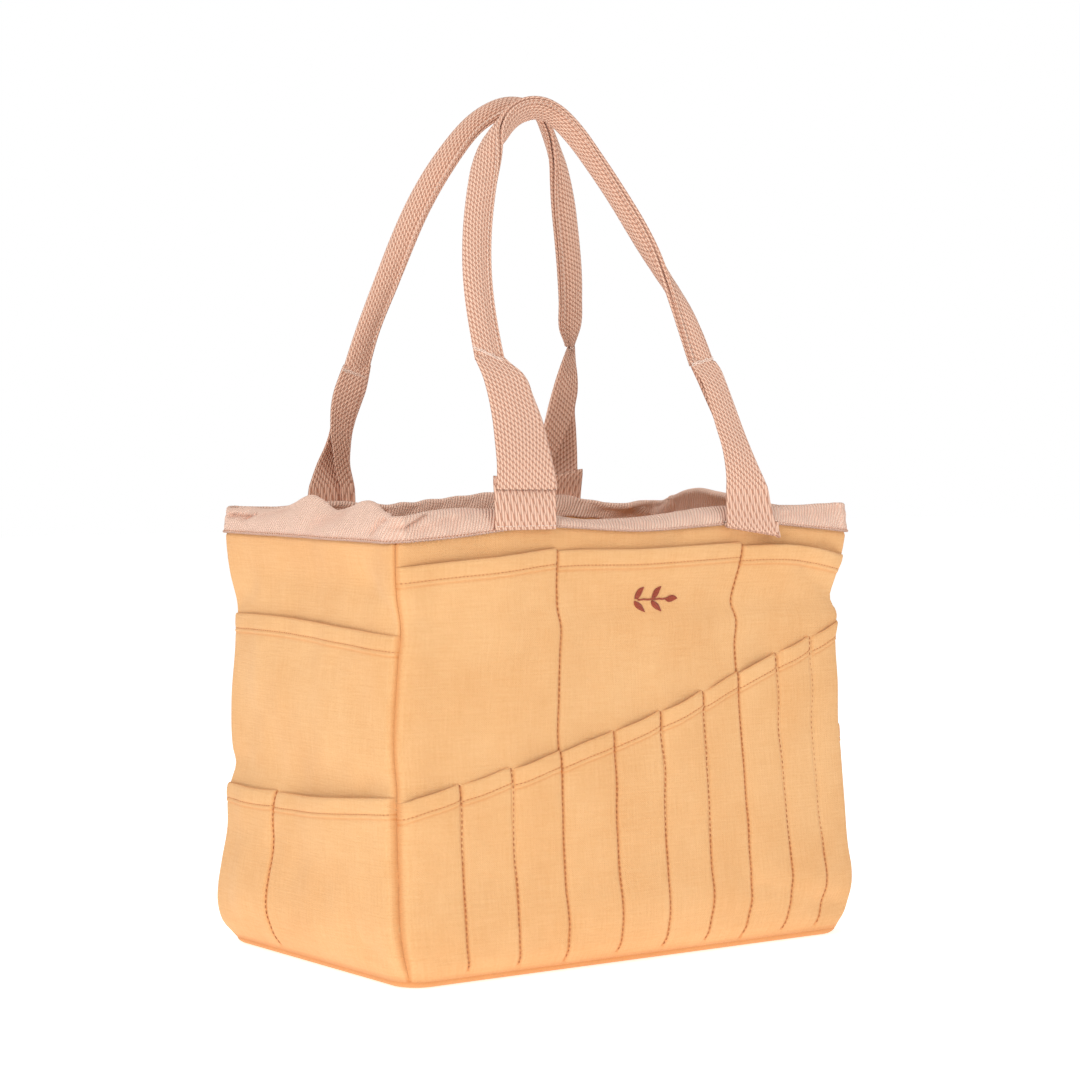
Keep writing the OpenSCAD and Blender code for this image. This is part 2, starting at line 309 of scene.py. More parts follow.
class Graph:
    """A node material, with short calls for the nodes that the cloths share."""

    def __init__(self, name, roughness, sheen, specular=0.2):
        self.material = bpy.data.materials.new(name)
        self.material.use_nodes = True
        self.nodes = self.material.node_tree.nodes
        self.links = self.material.node_tree.links
        self.shader = self.nodes["Principled BSDF"]
        self.shader.inputs["Roughness"].default_value = roughness
        self.shader.inputs["Sheen Weight"].default_value = sheen
        self.shader.inputs["Sheen Roughness"].default_value = 0.45
        self.shader.inputs["Specular IOR Level"].default_value = specular

    def put(self, target, value):
        if isinstance(value, Value):
            self.links.new(value.socket, target)
        else:
            target.default_value = value

    def added(self, kind, values=(), output=0):
        """A new node with its first inputs filled in, and one of its outputs."""
        node = self.nodes.new(kind)
        for socket, value in zip(node.inputs, values):
            self.put(socket, value)
        return node, Value(self, node.outputs[output])

    def math(self, operation, a, b=0.0, clamp=False):
        node, found = self.added("ShaderNodeMath", (a, b))
        node.operation = operation
        node.use_clamp = clamp
        return found

    def cloth_uv(self):
        """Distances across and along the cloth, in millimetres."""
        source, place = self.added("ShaderNodeUVMap")
        source.uv_map = "cloth"
        parts, u = self.added("ShaderNodeSeparateXYZ", [place])
        return u * MM, Value(self, parts.outputs[1]) * MM

    def vector(self, x, y):
        return self.added("ShaderNodeCombineXYZ", (x, y))[1]

    def noise(self, place, scale, detail=2.0, roughness=0.5):
        node, found = self.added("ShaderNodeTexNoise", [place])
        node.inputs["Scale"].default_value = scale
        node.inputs["Detail"].default_value = detail
        node.inputs["Roughness"].default_value = roughness
        return found

    def object_place(self):
        return self.added("ShaderNodeTexCoord", output="Object")[1]

    def sine(self, value, period):
        return self.math("SINE", value * (2 * math.pi / period))

    def range(self, value, low, high, to_low=0.0, to_high=1.0):
        return self.added("ShaderNodeMapRange", (value, low, high, to_low, to_high))[1]

    def blend(self, share, a, b):
        node = self.nodes.new("ShaderNodeMix")
        node.data_type = "RGBA"
        self.put(node.inputs[0], share)
        for socket, value in ((node.inputs[6], a), (node.inputs[7], b)):
            self.put(socket, value if isinstance(value, Value) else (*value, 1.0))
        return Value(self, node.outputs[2])

    def attribute(self, name):
        node, found = self.added("ShaderNodeAttribute", output="Fac")
        node.attribute_name = name
        return found

    def finish(self, colour, height, distance, strength=1.0):
        bump = self.nodes.new("ShaderNodeBump")
        bump.inputs["Strength"].default_value = strength
        bump.inputs["Distance"].default_value = distance
        self.put(bump.inputs["Height"], height)
        self.links.new(bump.outputs[0], self.shader.inputs["Normal"])
        self.put(self.shader.inputs["Base Color"], colour)
        return self.material


def canvas_material(name, light, dark, pit_and_shade):
    """Plain-weave cotton: a fine weave with thick and thin yarns, mottling, and painted shade in its seams
    and grooves.
    """
    g = Graph(name, roughness=0.93, sheen=0.10)
    u, v = g.cloth_uv()
    yarn = 1.15              # millimetres for two yarns
    weave = g.sine(u, yarn) * g.sine(v, yarn)
    slub = g.noise(g.vector(u * 0.05, v), 1.1) + g.noise(g.vector(u, v * 0.05), 1.1)
    speckle = g.noise(g.vector(u, v), 0.9, detail=3.0, roughness=0.65)
    mottle = g.noise(g.object_place(), 28.0, detail=3.0)
    tone = g.range(slub, 0.7, 1.3, 0.0, 0.36) + g.range(mottle, 0.3, 0.7, 0.0, 0.3)
    tone = g.math("ADD", tone, g.range(speckle, 0.3, 0.7, 0.0, 0.34), clamp=True)
    pits = g.range(weave, -1.0, -0.2, 0.16, 0.0)
    colour = g.blend(pits, g.blend(tone, dark, light), pit_and_shade)
    # Painted shade: the attribute darkens the cloth towards its darkest colour in grooves, seams and under
    # edges, where shade falls.
    colour = g.blend(g.attribute("crease"), colour, pit_and_shade)
    return g.finish(colour, weave * 0.5 + slub * 1.6 + speckle * 0.8, 0.00022, 0.55)


def tape_material(name, light, dark):
    """Cotton twill tape: steep diagonal ribs, fuzzy and matt, with painted shade from its attribute blended
    towards the dark colour.
    """
    g = Graph(name, roughness=0.92, sheen=0.18)
    u, v = g.cloth_uv()
    wander = g.noise(g.vector(u, v), 0.12) * 2.2
    rib = g.sine(u * 0.9 - v * 0.42 + wander, 1.7)
    speckle = g.noise(g.vector(u, v), 1.3, detail=3.0, roughness=0.6)
    shades = g.range(speckle, 0.3, 0.7, -0.18, 0.25)
    tone = g.math("ADD", g.range(rib, -1.0, 0.2, 0.25, 0.8), shades, clamp=True)
    colour = g.blend(g.attribute("crease"), g.blend(tone, dark, light), dark)
    return g.finish(colour, rib + g.sine(v, 0.9) * 0.35, 0.00045, 0.8)


def webbing_material(name, light, dark):
    """Heavy cotton webbing: columns of plump slanted yarn ends, alternate columns offset."""
    g = Graph(name, roughness=0.88, sheen=0.2)
    u, v = g.cloth_uv()
    column, row = 2.0, 2.9
    scaled = u / column
    index = g.math("FLOOR", scaled)
    across = scaled - index - 0.5
    odd = g.math("MODULO", abs(index), 2.0)
    along = g.math("FRACT", v / row + odd * 0.5 + across * 0.3) - 0.5
    across = across + along * 0.4
    edge = abs(across) ** 2.0 * 3.9 + abs(along) ** 2.0 * 2.7
    plump = g.math("SUBTRACT", 1.0, edge, clamp=True)
    fibre = g.noise(g.vector(u * 3.0, v), 1.2, detail=3.0)
    shades = g.range(fibre, 0.3, 0.7, -0.12, 0.2)
    tone = g.math("ADD", g.range(plump, 0.0, 0.55, 0.1, 0.9), shades, clamp=True)
    return g.finish(g.blend(tone, dark, light), plump ** 0.6 + fibre * 0.15, 0.0009, 0.9)


def thread_material(name, light, dark, sheen):
    """Twisted sewing thread."""
    g = Graph(name, roughness=0.6, sheen=sheen, specular=0.35)
    place = g.object_place()
    twist = g.noise(place, 1800.0, detail=1.0)
    patches = g.range(g.noise(place, 90.0), 0.3, 0.7, 0.0, 0.3)
    tone = g.math("ADD", g.range(twist, 0.35, 0.65, 0.0, 0.7), patches, clamp=True)
    return g.finish(g.blend(tone, dark, light), twist, 0.0001, 0.5)


def board_material():
    """Grey fibreboard: specks and a slight grain."""
    g = Graph("fibreboard", roughness=0.85, sheen=0.0)
    speck = g.noise(g.object_place(), 900.0, detail=4.0, roughness=0.7)
    colour = g.blend(g.range(speck, 0.35, 0.65), (0.22, 0.2, 0.18), (0.42, 0.39, 0.35))
    return g.finish(colour, speck, 0.0002, 0.5)


# Each slot's material, from its light and dark colours.
LOOKS = {
    "canvas": canvas_material("apricot_canvas", (0.87, 0.53, 0.255), (0.74, 0.38, 0.15),
                              (0.66, 0.25, 0.075)),
    "tape": tape_material("pink_twill_tape", (1.0, 0.72, 0.57), (0.88, 0.48, 0.34)),
    "webbing": webbing_material("pink_webbing", (0.96, 0.61, 0.45), (0.54, 0.22, 0.13)),
    "stitch_thread": thread_material("terracotta_thread", (0.66, 0.27, 0.10), (0.42, 0.13, 0.04), 0.1),
    "tack_thread": thread_material("pale_thread", (0.93, 0.76, 0.65), (0.80, 0.58, 0.47), 0.2),
    "embroidery_thread": thread_material("rust_thread", (0.46, 0.085, 0.035), (0.27, 0.04, 0.018), 0.3),
}
BOARD = board_material()


# ---------- the shape of the bag ----------

# The seam at each corner, by height: (z, beyond HALF_W, beyond HALF_D). It sags in above the side
# pockets, swells near the base and tucks in under it.
FOOT_KEY = (SEAM_Z, -1.7, 2.3)
CORNERS = {
    "front_left": (-1, -1, [
        FOOT_KEY, (8, 0.2, 4.0), (16, 3.0, 5.2), (27, 5.0, 5.2), (55, 4.8, 2.5), (88, 4.4, 0.6),
        (98, 3.9, -0.2), (118, 5.0, -1.0), (150, 3.4, -1.4), (165, 2.0, -1.6), (180, 0.4, -1.8),
        (195, 2.8, -1.6), (225, 4.0, -1.4), (250, 4.0, -1.4)]),
    "back_left": (-1, 1, [
        FOOT_KEY, (8, 1.6, 3.4), (14, 4.2, 4.8), (22, 5.8, 5.6), (31, 5.8, 5.0), (45, 4.2, 3.5),
        (62, 1.6, 1.8), (88, 1.0, 0.6), (97, -1.0, -1.0), (107, 0.4, -0.4), (132, 1.2, -0.5),
        (165, -0.3, -2.6), (185, -0.1, -3.0), (202, 3.3, -1.2), (217, 5.0, -0.5), (250, 4.5, -1.0)]),
    "front_right": (1, -1, [
        FOOT_KEY, (9, 1.0, 3.0), (19, 4.5, 3.6), (25, 6.0, 4.2), (34, 6.6, 3.9), (47, 5.2, 2.3),
        (72, 4.0, 0.4), (100, 2.2, -1.0), (118, 1.4, -2.2), (138, 1.6, -2.8), (165, 0.4, -3.7),
        (178, 1.8, -4.0), (186, -1.2, -5.6), (195, 1.0, -5.0), (207, 5.0, -3.0), (219, 7.0, -1.6),
        (250, 7.2, -1.4)]),
    "back_right": (1, 1, [
        FOOT_KEY, (10, 1.0, 3.6), (20, 4.0, 5.0), (30, 4.4, 4.8), (60, 3.0, 2.4), (105, 2.0, 0.4),
        (120, 1.0, -0.6), (165, 0.5, -2.0), (185, -0.6, -3.2), (203, 2.0, -2.0), (225, 4.0, -1.2),
        (250, 4.0, -1.2)]),
}
LONG_BULGE = [(SEAM_Z, 0.0), (15, 4.5), (30, 7.0), (45, 7.6), (75, 7.0), (120, 5.6), (155, 4.6), (187, 3.2),
              (217, 1.8), (225, 1.4), (250, 1.0)]
SHORT_BULGE = [(SEAM_Z, 0.0), (25, 1.8), (60, 3.0), (110, 2.6), (160, 2.6), (180, 1.2), (202, -2.6),
               (218, -0.6), (225, 0.4), (250, 0.5)]


def corner_at(name, z):
    side_x, side_y, keys = CORNERS[name]
    beyond = through(keys, z)
    return np.stack([side_x * (HALF_W + beyond[..., 0]), side_y * (HALF_D + beyond[..., 1]), z], -1)


def roll(d, z):
    """How far the cloth rises from a corner's seam, at distance d from it."""
    reach = BASE_R * math.sin(math.pi / 4)
    turned = np.sqrt(BASE_R ** 2 - (reach - np.minimum(d, reach)) ** 2) - reach
    pillow = 1.5 * (1 - np.exp(-d / 1.0)) + 1.6 * (1 - np.exp(-d / 7.0))
    return mix(turned, pillow, smooth((z - SEAM_Z) / 18))


class Face:
    """One side of the bag, from its left corner to its right one, seen from outside."""

    def __init__(self, name, half, out, left, right, bulge, seed, folds):
        self.name, self.half, self.left, self.right = name, half, left, right
        self.out = np.array(out, float)
        self.along = np.cross([0.0, 0.0, 1.0], self.out)
        self.bulge, self.seed, self.folds = bulge, seed, folds
        self.wave = 1.0 if half > HALF_D + 1 else 1.5

    def corner_distance(self, x):
        return self.half - np.abs(x)

    def point(self, x, z, lift=0.0):
        x, z = np.broadcast_arrays(np.asarray(x, float), np.asarray(z, float))
        share = ((x / self.half + 1) / 2)[..., None]
        start, end = corner_at(self.left, z), corner_at(self.right, z)
        d = self.corner_distance(x)
        inside = smooth(d / 25)
        high = smooth((z - SEAM_Z) / 25)
        arch = 1 - (x / self.half) ** 2
        wave = ripple(x, z, self.seed, LONG_WAVE) * self.wave
        wave = wave + ripple(x, z, self.seed + 50, SHORT_WAVE) * 0.32
        rise = roll(d, z) + through(self.bulge, z) * arch + wave * inside * high
        rise = rise + fold_field(x, z, self.folds) * smooth(d / 6) + lift * (1 - np.exp(-d / 0.9))
        sway = 1.1 * np.sin(z / 26 + x / 41 + self.seed) * arch * high
        return start + (end - start) * share + self.out * rise[..., None] + self.along * sway[..., None]

    def seam_painted_shade(self, x, z):
        """Painted shade in the grooves at the corners and along the base."""
        return 0.6 * bell(self.corner_distance(x), 0.9) + 0.5 * np.exp(-(z - SEAM_Z) / 1.3)


# Creases that are pressed into each side.
FRONT_FOLDS = [
    (66, 36, 134, 17, 1.5, 6.0), (58, 221, 98, 222, 0.9, 3.5), (-118, 221, -92, 218, 0.9, 3.0),
    (-30, 221, 30, 222, 0.6, 2.5), (124, 217, 141, 211, 1.9, 2.0), (-141, 181, -126, 186, 1.3, 3.0),
    (-141, 100, -130, 92, 0.9, 3.0), (-139, 10, -124, 16, 1.2, 3.0), (112, 205, 141, 190, 1.4, 5.0)]
LEFT_FOLDS = [
    (-70, 206, 60, 199, 1.2, 9.0), (52, 206, 82, 184, 1.6, 5.0), (-80, 186, -58, 195, 1.4, 5.0),
    (60, 99, 82, 103, 1.2, 4.0), (-82, 100, -60, 104, 1.5, 4.0), (58, 20, 82, 10, 1.4, 4.0)]
RIGHT_FOLDS = [
    (-82, 188, -44, 200, 3.0, 7.0), (-30, 204, 62, 199, 1.6, 9.0), (58, 188, 82, 196, 1.6, 5.0),
    (-82, 122, -60, 127, 1.4, 4.0), (60, 24, 82, 12, 1.3, 4.0)]
BACK_FOLDS = [
    (-134, 18, -70, 34, 1.3, 6.0), (-100, 221, -60, 222, 0.9, 3.5), (60, 221, 100, 222, 0.9, 3.5),
    (118, 196, 141, 186, 1.4, 5.0), (-141, 126, -124, 120, 1.0, 4.0), (124, 12, 140, 20, 1.2, 4.0)]

FRONT = Face("front", HALF_W, (0, -1, 0), "front_left", "front_right", LONG_BULGE, 3, FRONT_FOLDS)
BACK = Face("back", HALF_W, (0, 1, 0), "back_right", "back_left", LONG_BULGE, 11, BACK_FOLDS)
LEFT = Face("left", HALF_D, (-1, 0, 0), "back_left", "front_left", SHORT_BULGE, 5, LEFT_FOLDS)
RIGHT = Face("right", HALF_D, (1, 0, 0), "front_right", "back_right", SHORT_BULGE, 8, RIGHT_FOLDS)
FACES = [FRONT, RIGHT, BACK, LEFT]


def columns(edges, spacing):
    """Places across a face: close together beside each seam, and evenly spaced between them."""
    beside = np.array([0.0, 0.35, 0.8, 1.3, 1.9, 2.7, 4.0, 6.0])
    found = []
    for left, right in zip(edges[:-1], edges[1:]):
        reach = beside[beside < (right - left) / 2 - 1]
        inner_left, inner_right = left + reach[-1], right - reach[-1]
        count = max(2, round((inner_right - inner_left) / spacing) + 1)
        found += [left + reach, np.linspace(inner_left, inner_right, count), right - reach]
    return np.unique(np.round(np.concatenate(found), 4))


# ---------- canvas walls ----------

WALL_TOP = RIM_Z + 6         # about where the walls end, inside the folded tape
WALL_EVEN = 176.0            # rows of points are level below this, and follow the tape above it
WALL_PITCH = 4.0             # spacing of a wall's columns


def make_wall(face):
    x = columns([-face.half, face.half], WALL_PITCH)
    z = np.concatenate([np.linspace(WALL_TOP, WALL_EVEN, 24), np.linspace(WALL_EVEN - 4, SEAM_Z, 34)])
    xs, zs = np.meshgrid(x, z)
    end = RIM_Z + through(TAPE_FOOT[face.name], xs) + 2.0
    stretch = (end - WALL_EVEN) / (WALL_TOP - WALL_EVEN)
    zs = np.where(zs > WALL_EVEN, WALL_EVEN + (zs - WALL_EVEN) * stretch, zs)
    # The top edge draws in a little, so that it stays inside the tape.
    drawn_in = 1 - 0.011 * smooth((zs - end + 3.5) / 3)[..., None] * np.array([1, 1, 0])
    outer = face.point(xs, zs) * drawn_in
    inner = face.point(xs * (1 - WALL_T / face.half), zs, -WALL_T) * drawn_in
    # Painted shade: darker in the grooves at the seams, and towards the top of the wall, which lies in
    # shade under the tape.
    crease = face.seam_painted_shade(xs, zs) + 0.1 * smooth((zs - 190) / 25)
    made = canvas_sheet(f"{face.name}_wall", outer, inner, np.stack([xs, zs], -1), crease)
    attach(made, "bag")
    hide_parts(f"{face.name}_panel")
    2 * (face.half + SEWN_IN) / MM


# ---------- pockets ----------

# Section through a turned hem, by distance below the pocket's mouth.
HEM_RISE = [(0, -0.5), (0.25, -0.05), (0.8, 0.35), (2, 0.5), (6.4, 0.45), (7.5, 0.3), (8.2, -0.05),
            (8.8, 0.25), (9.4, 0.45), (9.9, 0.3), (10.4, -0.15), (11.6, -0.05), (14, 0.0)]
HEM_ROWS = np.array([0, 0.25, 0.8, 1.4, 2.2, 3.4, 4.8, 6.2, 7.2, 7.8, 8.2, 8.6, 9.0, 9.4, 9.8, 10.2,
                     10.7, 11.6, 13, 15.5])


class Pocket:
    """Cloth sewn to a side along its foot, its ends and its dividers, and open at its mouth."""

    def __init__(self, face, tier, level, mouth, divides, puff, gape, step):
        self.face, self.tier, self.level = face, tier, level
        self.mouth, self.divides = mouth, list(divides)
        self.puff, self.gape, self.step = puff, gape, step
        self.edges = np.array([-face.half, *self.divides, face.half])

    def cell(self, x):
        """Share of the way across its compartment, the compartment's width, and the seam's distance."""
        i = np.clip(np.searchsorted(self.edges, x, side="right") - 1, 0, len(self.edges) - 2)
        left, right = self.edges[i], self.edges[i + 1]
        far = 1e3
        to_left = np.where(i == 0, far, x - left)
        to_right = np.where(i == len(self.edges) - 2, far, right - x)
        return (x - left) / (right - left), right - left, np.minimum(to_left, to_right), i

    def mouth_z(self, x):
        share, _, near, i = self.cell(x)
        stepped = self.step * (share - 0.5) * 2 if self.divides else 0.0
        sag = 0.22 * np.sin(share * math.pi * 2 + i * 1.7)
        return through(self.mouth, x) + stepped * smooth(near / 0.8) + sag * smooth(near / 3)

    def lift(self, x, z):
        share, width, near, i = self.cell(x)
        below = self.mouth_z(x) - z
        tall = self.mouth_z(x) - SEAM_Z
        arch = np.clip(4 * share * (1 - share), 0, 1)
        valley = 1 - bell(near, 1.3)
        full = smooth((z - SEAM_Z) / (0.35 * tall))
        uneven = 1 + 0.35 * np.sin(i * 2.4 + self.face.seed)
        swell = self.puff * uneven * np.sqrt(width / 30) * arch ** 0.8 * full
        tilt = 0.85 * share ** 3 * full if self.divides else 0.0
        open_mouth = self.gape * uneven * arch * np.exp(-below / 15)
        hem = through(HEM_RISE, below) * (0.4 + 0.6 * valley)
        pucker = 0.16 * np.sin(z * 1.25 + i) * bell(near, 4.5) * valley
        foot = smooth((z - SEAM_Z) / 10)
        stood_off = self.level * foot + valley * (swell + tilt + open_mouth)
        return stood_off - 0.35 * (1 - valley) + hem + pucker * foot

    def point(self, x, z, extra=0.0):
        return self.face.point(x, z, self.lift(x, z) + extra)

    def normal(self, x, z):
        step = 0.3
        dx = self.point(x + step, z) - self.point(x - step, z)
        dz = self.point(x, z + step) - self.point(x, z - step)
        return unit(np.cross(dx, dz))

    def grid(self):
        x = columns(self.edges, 2.6 if self.divides else 3.6)
        mouth = self.mouth_z(x)
        count = int((mouth.max() - SEAM_Z - HEM_ROWS[-1]) / 3.2)
        down = np.linspace(0, 1, count)[1:]
        hem_z = mouth[None, :] - HEM_ROWS[:, None]
        foot_z = mix(hem_z[-1][None, :], SEAM_Z, down[:, None])
        z = np.concatenate([hem_z, foot_z])
        return np.broadcast_to(x, z.shape), z

    def make(self):
        x, z = self.grid()
        outer = self.point(x, z)
        below = self.mouth_z(x) - z
        thick = mix(2.0, CLOTH_T, smooth((below - 9) / 3)) * mix(0.45, 1.0, smooth(below / 0.8))
        inner = self.face.point(x, z, self.lift(x, z) - thick)
        near = self.cell(x)[2]
        # Painted shade in the grooves of the corners, the dividers and the hem's stitching, and a painted
        # shadow under the hem's lower edge.
        crease = self.face.seam_painted_shade(x, z) + 0.75 * bell(near, 0.9)
        crease = crease + 0.4 * bell(below - HEM_STITCH, 0.35) + 0.4 * bell(below - 10.5, 0.5)
        name = f"{self.face.name}_{self.tier}_pocket"
        made = canvas_sheet(f"{name}_cloth", outer, inner, np.stack([x, z], -1), crease)
        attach(made, "bag")
        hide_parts(name, f"{self.face.name}_{self.tier}_seams")
        wide = 2 * (self.face.half + SEWN_IN) / MM
        heights = through(self.mouth, self.edges)
        tall, short = (heights.max() + HEM_AND_FOOT) / MM, (heights.min() + HEM_AND_FOOT) / MM
        wide * (tall + short) / 2

    def hem_line(self):
        x = np.arange(-self.face.half + 1.5, self.face.half - 1.5, 0.8)
        z = self.mouth_z(x) - HEM_STITCH
        return self.point(x, z, 0.05), self.normal(x, z)

    def divide_line(self, x, low):
        """Stitching down a divider, from the mouth to the given height."""
        z = np.arange(self.mouth_z(np.array(x)) - 1.0, low, -0.9)
        wander = 0.35 * np.sin(z / 7 + x)
        at = x + wander
        return self.point(at, z, 0.32), self.normal(at, z)


# Seams of the front pockets: nearly thirds, quarters and thirds of the bays. Measured, then rounded.
BAY_EDGES = [-51.0, 67.5]
SLOT_EDGES = [-111.0, -80.5, -51.0, -18.0, 12.5, 41.5, 67.5, 95.5, 120.0]
SLANT_LEFT = 94.0            # height of the slanted mouth's left end
SLANT_SAG = 6.0


def slanted_mouth():
    right = top_of("front_lower_pocket")
    found = []
    for share in np.linspace(0, 1, 12):
        sag = SLANT_SAG * math.sin(math.pi * share ** 0.9) ** 1.5
        found.append((HALF_W * (2 * share - 1), mix(SLANT_LEFT, right, share) - sag))
    return found


def mouth_over(node, half, rises):
    """A mouth at the CAD pocket's top, raised a little here and there; rises are evenly spaced."""
    top = top_of(node)
    return [(x, top + rise) for x, rise in zip(np.linspace(-half, half, len(rises)), rises)]


def evenly_divided(half, count):
    return [half * (2 * i / count - 1) for i in range(1, count)]


# Each pocket: its side, its level, where its mouth rises over the CAD pocket's top, its dividers,
# how much a compartment puffs out and its mouth gapes, and the step in the mouth at a divider.
# The front and left mouths are measured.
TIERS = [
    (FRONT, "upper", (-3.6, -0.8, 2.6, 2.0, 2.4, 2.2, -6.0), BAY_EDGES, 0.55, 1.6, 0.9),
    (FRONT, "lower", None, SLOT_EDGES, 0.75, 1.5, 0.7),
    (BACK, "upper", (-4.0, 1.0, 1.8, 2.4, 1.2, 0.0, -3.0), evenly_divided(HALF_W, 3), 0.55, 1.8, 0.9),
    (BACK, "lower", (-2.0, 0.6, 1.4, 0.4, -1.0), evenly_divided(HALF_W, 6), 0.8, 1.7, 0.8),
    (LEFT, "upper", (2.0, 2.8, 2.2, 0.6, -1.6), (), 0.3, 1.6, 0.0),
    (LEFT, "lower", (-3.8, -3.4, -2.0, 0.6, 3.4), (-25.0,), 0.6, 1.8, 0.5),
    (RIGHT, "upper", (3.6, 2.4, 1.0, 0.6, 0.0), (), 0.3, 2.2, 0.0),
    (RIGHT, "lower", (2.4, 1.0, -0.6, -1.0, 0.4), (25.0,), 0.6, 1.8, 0.5),
]
LEVELS = {"upper": UPPER_LEVEL, "lower": LOWER_LEVEL}
POCKETS = {}
for side_face, tier, rises, *rest in TIERS:
    key = f"{side_face.name}_{tier}"
    mouth = mouth_over(f"{key}_pocket", side_face.half, rises) if rises else slanted_mouth()
    POCKETS[key] = Pocket(side_face, tier, LEVELS[tier], mouth, *rest)


def make_pocket_stitches(face):
    lines = []
    upper, lower = POCKETS[f"{face.name}_upper"], POCKETS[f"{face.name}_lower"]
    for pocket in (upper, lower):
        lines.append(pocket.hem_line())
    hem = stitches(f"{face.name}_hem_stitches", lines, "stitch_thread", 2.2, 1.35, 0.22)
    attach(hem, "bag")
    lines = [upper.divide_line(x, lower.mouth_z(np.array(x)) + 1) for x in upper.divides]
    lines += [lower.divide_line(x, SEAM_Z + 5) for x in lower.divides]
    if lines:
        down = stitches(f"{face.name}_divider_stitches", lines, "stitch_thread", 2.9, 1.9, 0.26)
        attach(down, "bag")


# ---------- base ----------

def base_outline():
    """Points round the foot of the four sides, seen from above, anticlockwise."""
    found = []
    for face in FACES:
        x = columns([-face.half, face.half], WALL_PITCH)[:-1]
        found.append(face.point(x, np.full(len(x), SEAM_Z)))
    return np.concatenate(found)


def make_base():
    outline = base_outline()
    n = len(outline)
    middle = np.zeros(3)
    # Each ring: how far in from the outline, and its height.
    section = [(-0.1, SEAM_Z + 0.3), (0.5, SEAM_Z - 0.6), (0.9, SEAM_Z - 1.6), (1.6, 1.2), (2.8, 0.4),
               (4.6, 0.05), (9.0, 0.0), (24.0, 0.0), (48.0, 0.0), (76.0, 0.0)]
    rings = []
    for inset, z in section:
        flat = outline.copy()
        reach = np.linalg.norm(outline[:, :2], axis=1, keepdims=True)
        inward = -outline[:, :2] / np.maximum(np.abs(outline[:, :2]).max(0), 1)
        inward = unit(np.sign(inward) * np.abs(inward) ** 6)
        flat[:, :2] = outline[:, :2] + inward * np.minimum(inset, reach * 0.9)
        flat[:, 2] = z
        rings.append(flat)
    lower = np.concatenate([*rings, middle[None]])
    upper = lower + np.array([0.0, 0.0, BASE_T])
    faces = list(ring_faces(len(rings), n)[:, ::-1])
    last = (len(rings) - 1) * n
    centre = len(rings) * n
    faces += [[centre, last + (i + 1) % n, last + i] for i in range(n)]
    shift = len(lower)
    faces += [[shift + k for k in reversed(f)] for f in faces]
    faces += [[i, (i + 1) % n, shift + (i + 1) % n, shift + i] for i in range(n)]
    points = np.concatenate([lower, upper])
    # Painted shade: the whole base a little darker, as it lies in shadow under the bag, and darker still in
    # the groove of its seam.
    crease = 0.35 + 0.6 * np.exp(-np.abs(points[:, 2] - SEAM_Z) / 1.0)
    made = piece("base_cloth", points, faces, "canvas", points[:, :2], crease)
    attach(made, "bag")
    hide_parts("base_panel")


def make_lining():
    """Cloth over the board, seen from above, dimpled along its edges."""
    half_x, half_y = box_mm("base_lining")[1][:2]
    x = np.linspace(-half_x, half_x, 60)
    y = np.linspace(half_y, -half_y, 36)
    xs, ys = np.meshgrid(x, y)
    edge = np.minimum(half_x - np.abs(xs), half_y - np.abs(ys))
    top = LINING_Z + 0.5 * smooth(edge / 14) + 0.35 * ripple(xs, ys, 21, 70.0) * smooth(edge / 20)
    upper = np.stack([xs, ys, top], -1)
    lower = upper - np.array([0.0, 0.0, CLOTH_T])
    # Painted shade along the cover's edges, in the recess where it meets the walls.
    made = canvas_sheet("board_cover", upper, lower, np.stack([xs, ys], -1), 0.5 * bell(edge, 2.5))
    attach(made, "bag")
    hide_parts("base_lining")


# ---------- tape round the mouth ----------

TAPE_W = 21.0                # height of the tape on each side of the wall
TAPE_T = 1.2
RIM_T = WALL_T + 2 * TAPE_T

TAPE_SHARES = np.concatenate([np.linspace(0, 0.9, 11), [0.96, 1.0]])

# Heights of the tape's lower edge and of its top along each side: (x, z), seen from outside. The
# front's and left side's are measured, then adjusted.
TAPE_FOOT = {
    "front": [(-143, -2.0), (-110, 0.2), (-71, 4.2), (2, 1.2), (78, 3.8), (120, 0.2), (143, -2.2)],
    "right": [(-84, -2.2), (0, -0.6), (84, -2.0)],
    "back": [(-143, -2.0), (-75, 3.4), (0, 1.0), (75, 3.4), (143, -1.0)],
    "left": [(-84, -0.8), (0, -1.4), (84, -2.2)],
}
TAPE_RISE = {
    "front": [(-143, 9.0), (-125, 12.6), (-106, 14.2), (-88, 13.8), (-60, 12.4), (-28, 7.6), (-8, 7.4),
              (15, 8.6), (49, 12.6), (80, 13.4), (112, 12.8), (130, 13.2), (143, 12.4)],
    "right": [(-84, 12.0), (-60, 10.5), (-30, 12.0), (0, 15.6), (22, 18.2), (42, 19.6), (62, 15.5),
              (76, 12.0), (84, 11.0)],
    "back": [(-143, 10.6), (-131, 12.0), (-117, 10.8), (-104, 11.2), (-89, 12.2), (-76, 13.2), (-40, 16.0),
             (0, 13.0), (40, 11.0), (80, 14.5), (115, 12.0), (143, 12.4)],
    "left": [(-84, 10.4), (-70, 12.2), (-50, 12.0), (-30, 13.4), (-10, 17.6), (1, 19.0), (10, 16.4),
             (21, 12.8), (34, 14.2), (47, 17.2), (58, 16.4), (70, 12.4), (84, 8.8)],
}
# How far the top of the tape leans in over the mouth along each side.
TAPE_LEAN = {
    "front": [(-143, 3), (-120, 8), (-60, 10), (0, 12), (60, 9), (120, 7), (143, 3)],
    "right": [(-84, 3), (-40, 9), (0, 11), (40, 9), (84, 3)],
    "back": [(-143, 3), (-131, 9), (-120, 8), (-108, 4.5), (-95, 1), (-78, -1.5), (-60, -1.5), (60, 2),
             (110, 7), (143, 3)],
    "left": [(-84, 3), (-60, 8), (-30, 8), (-5, 5), (15, 7), (32, 9), (55, 6), (70, 4), (84, 3)],
}
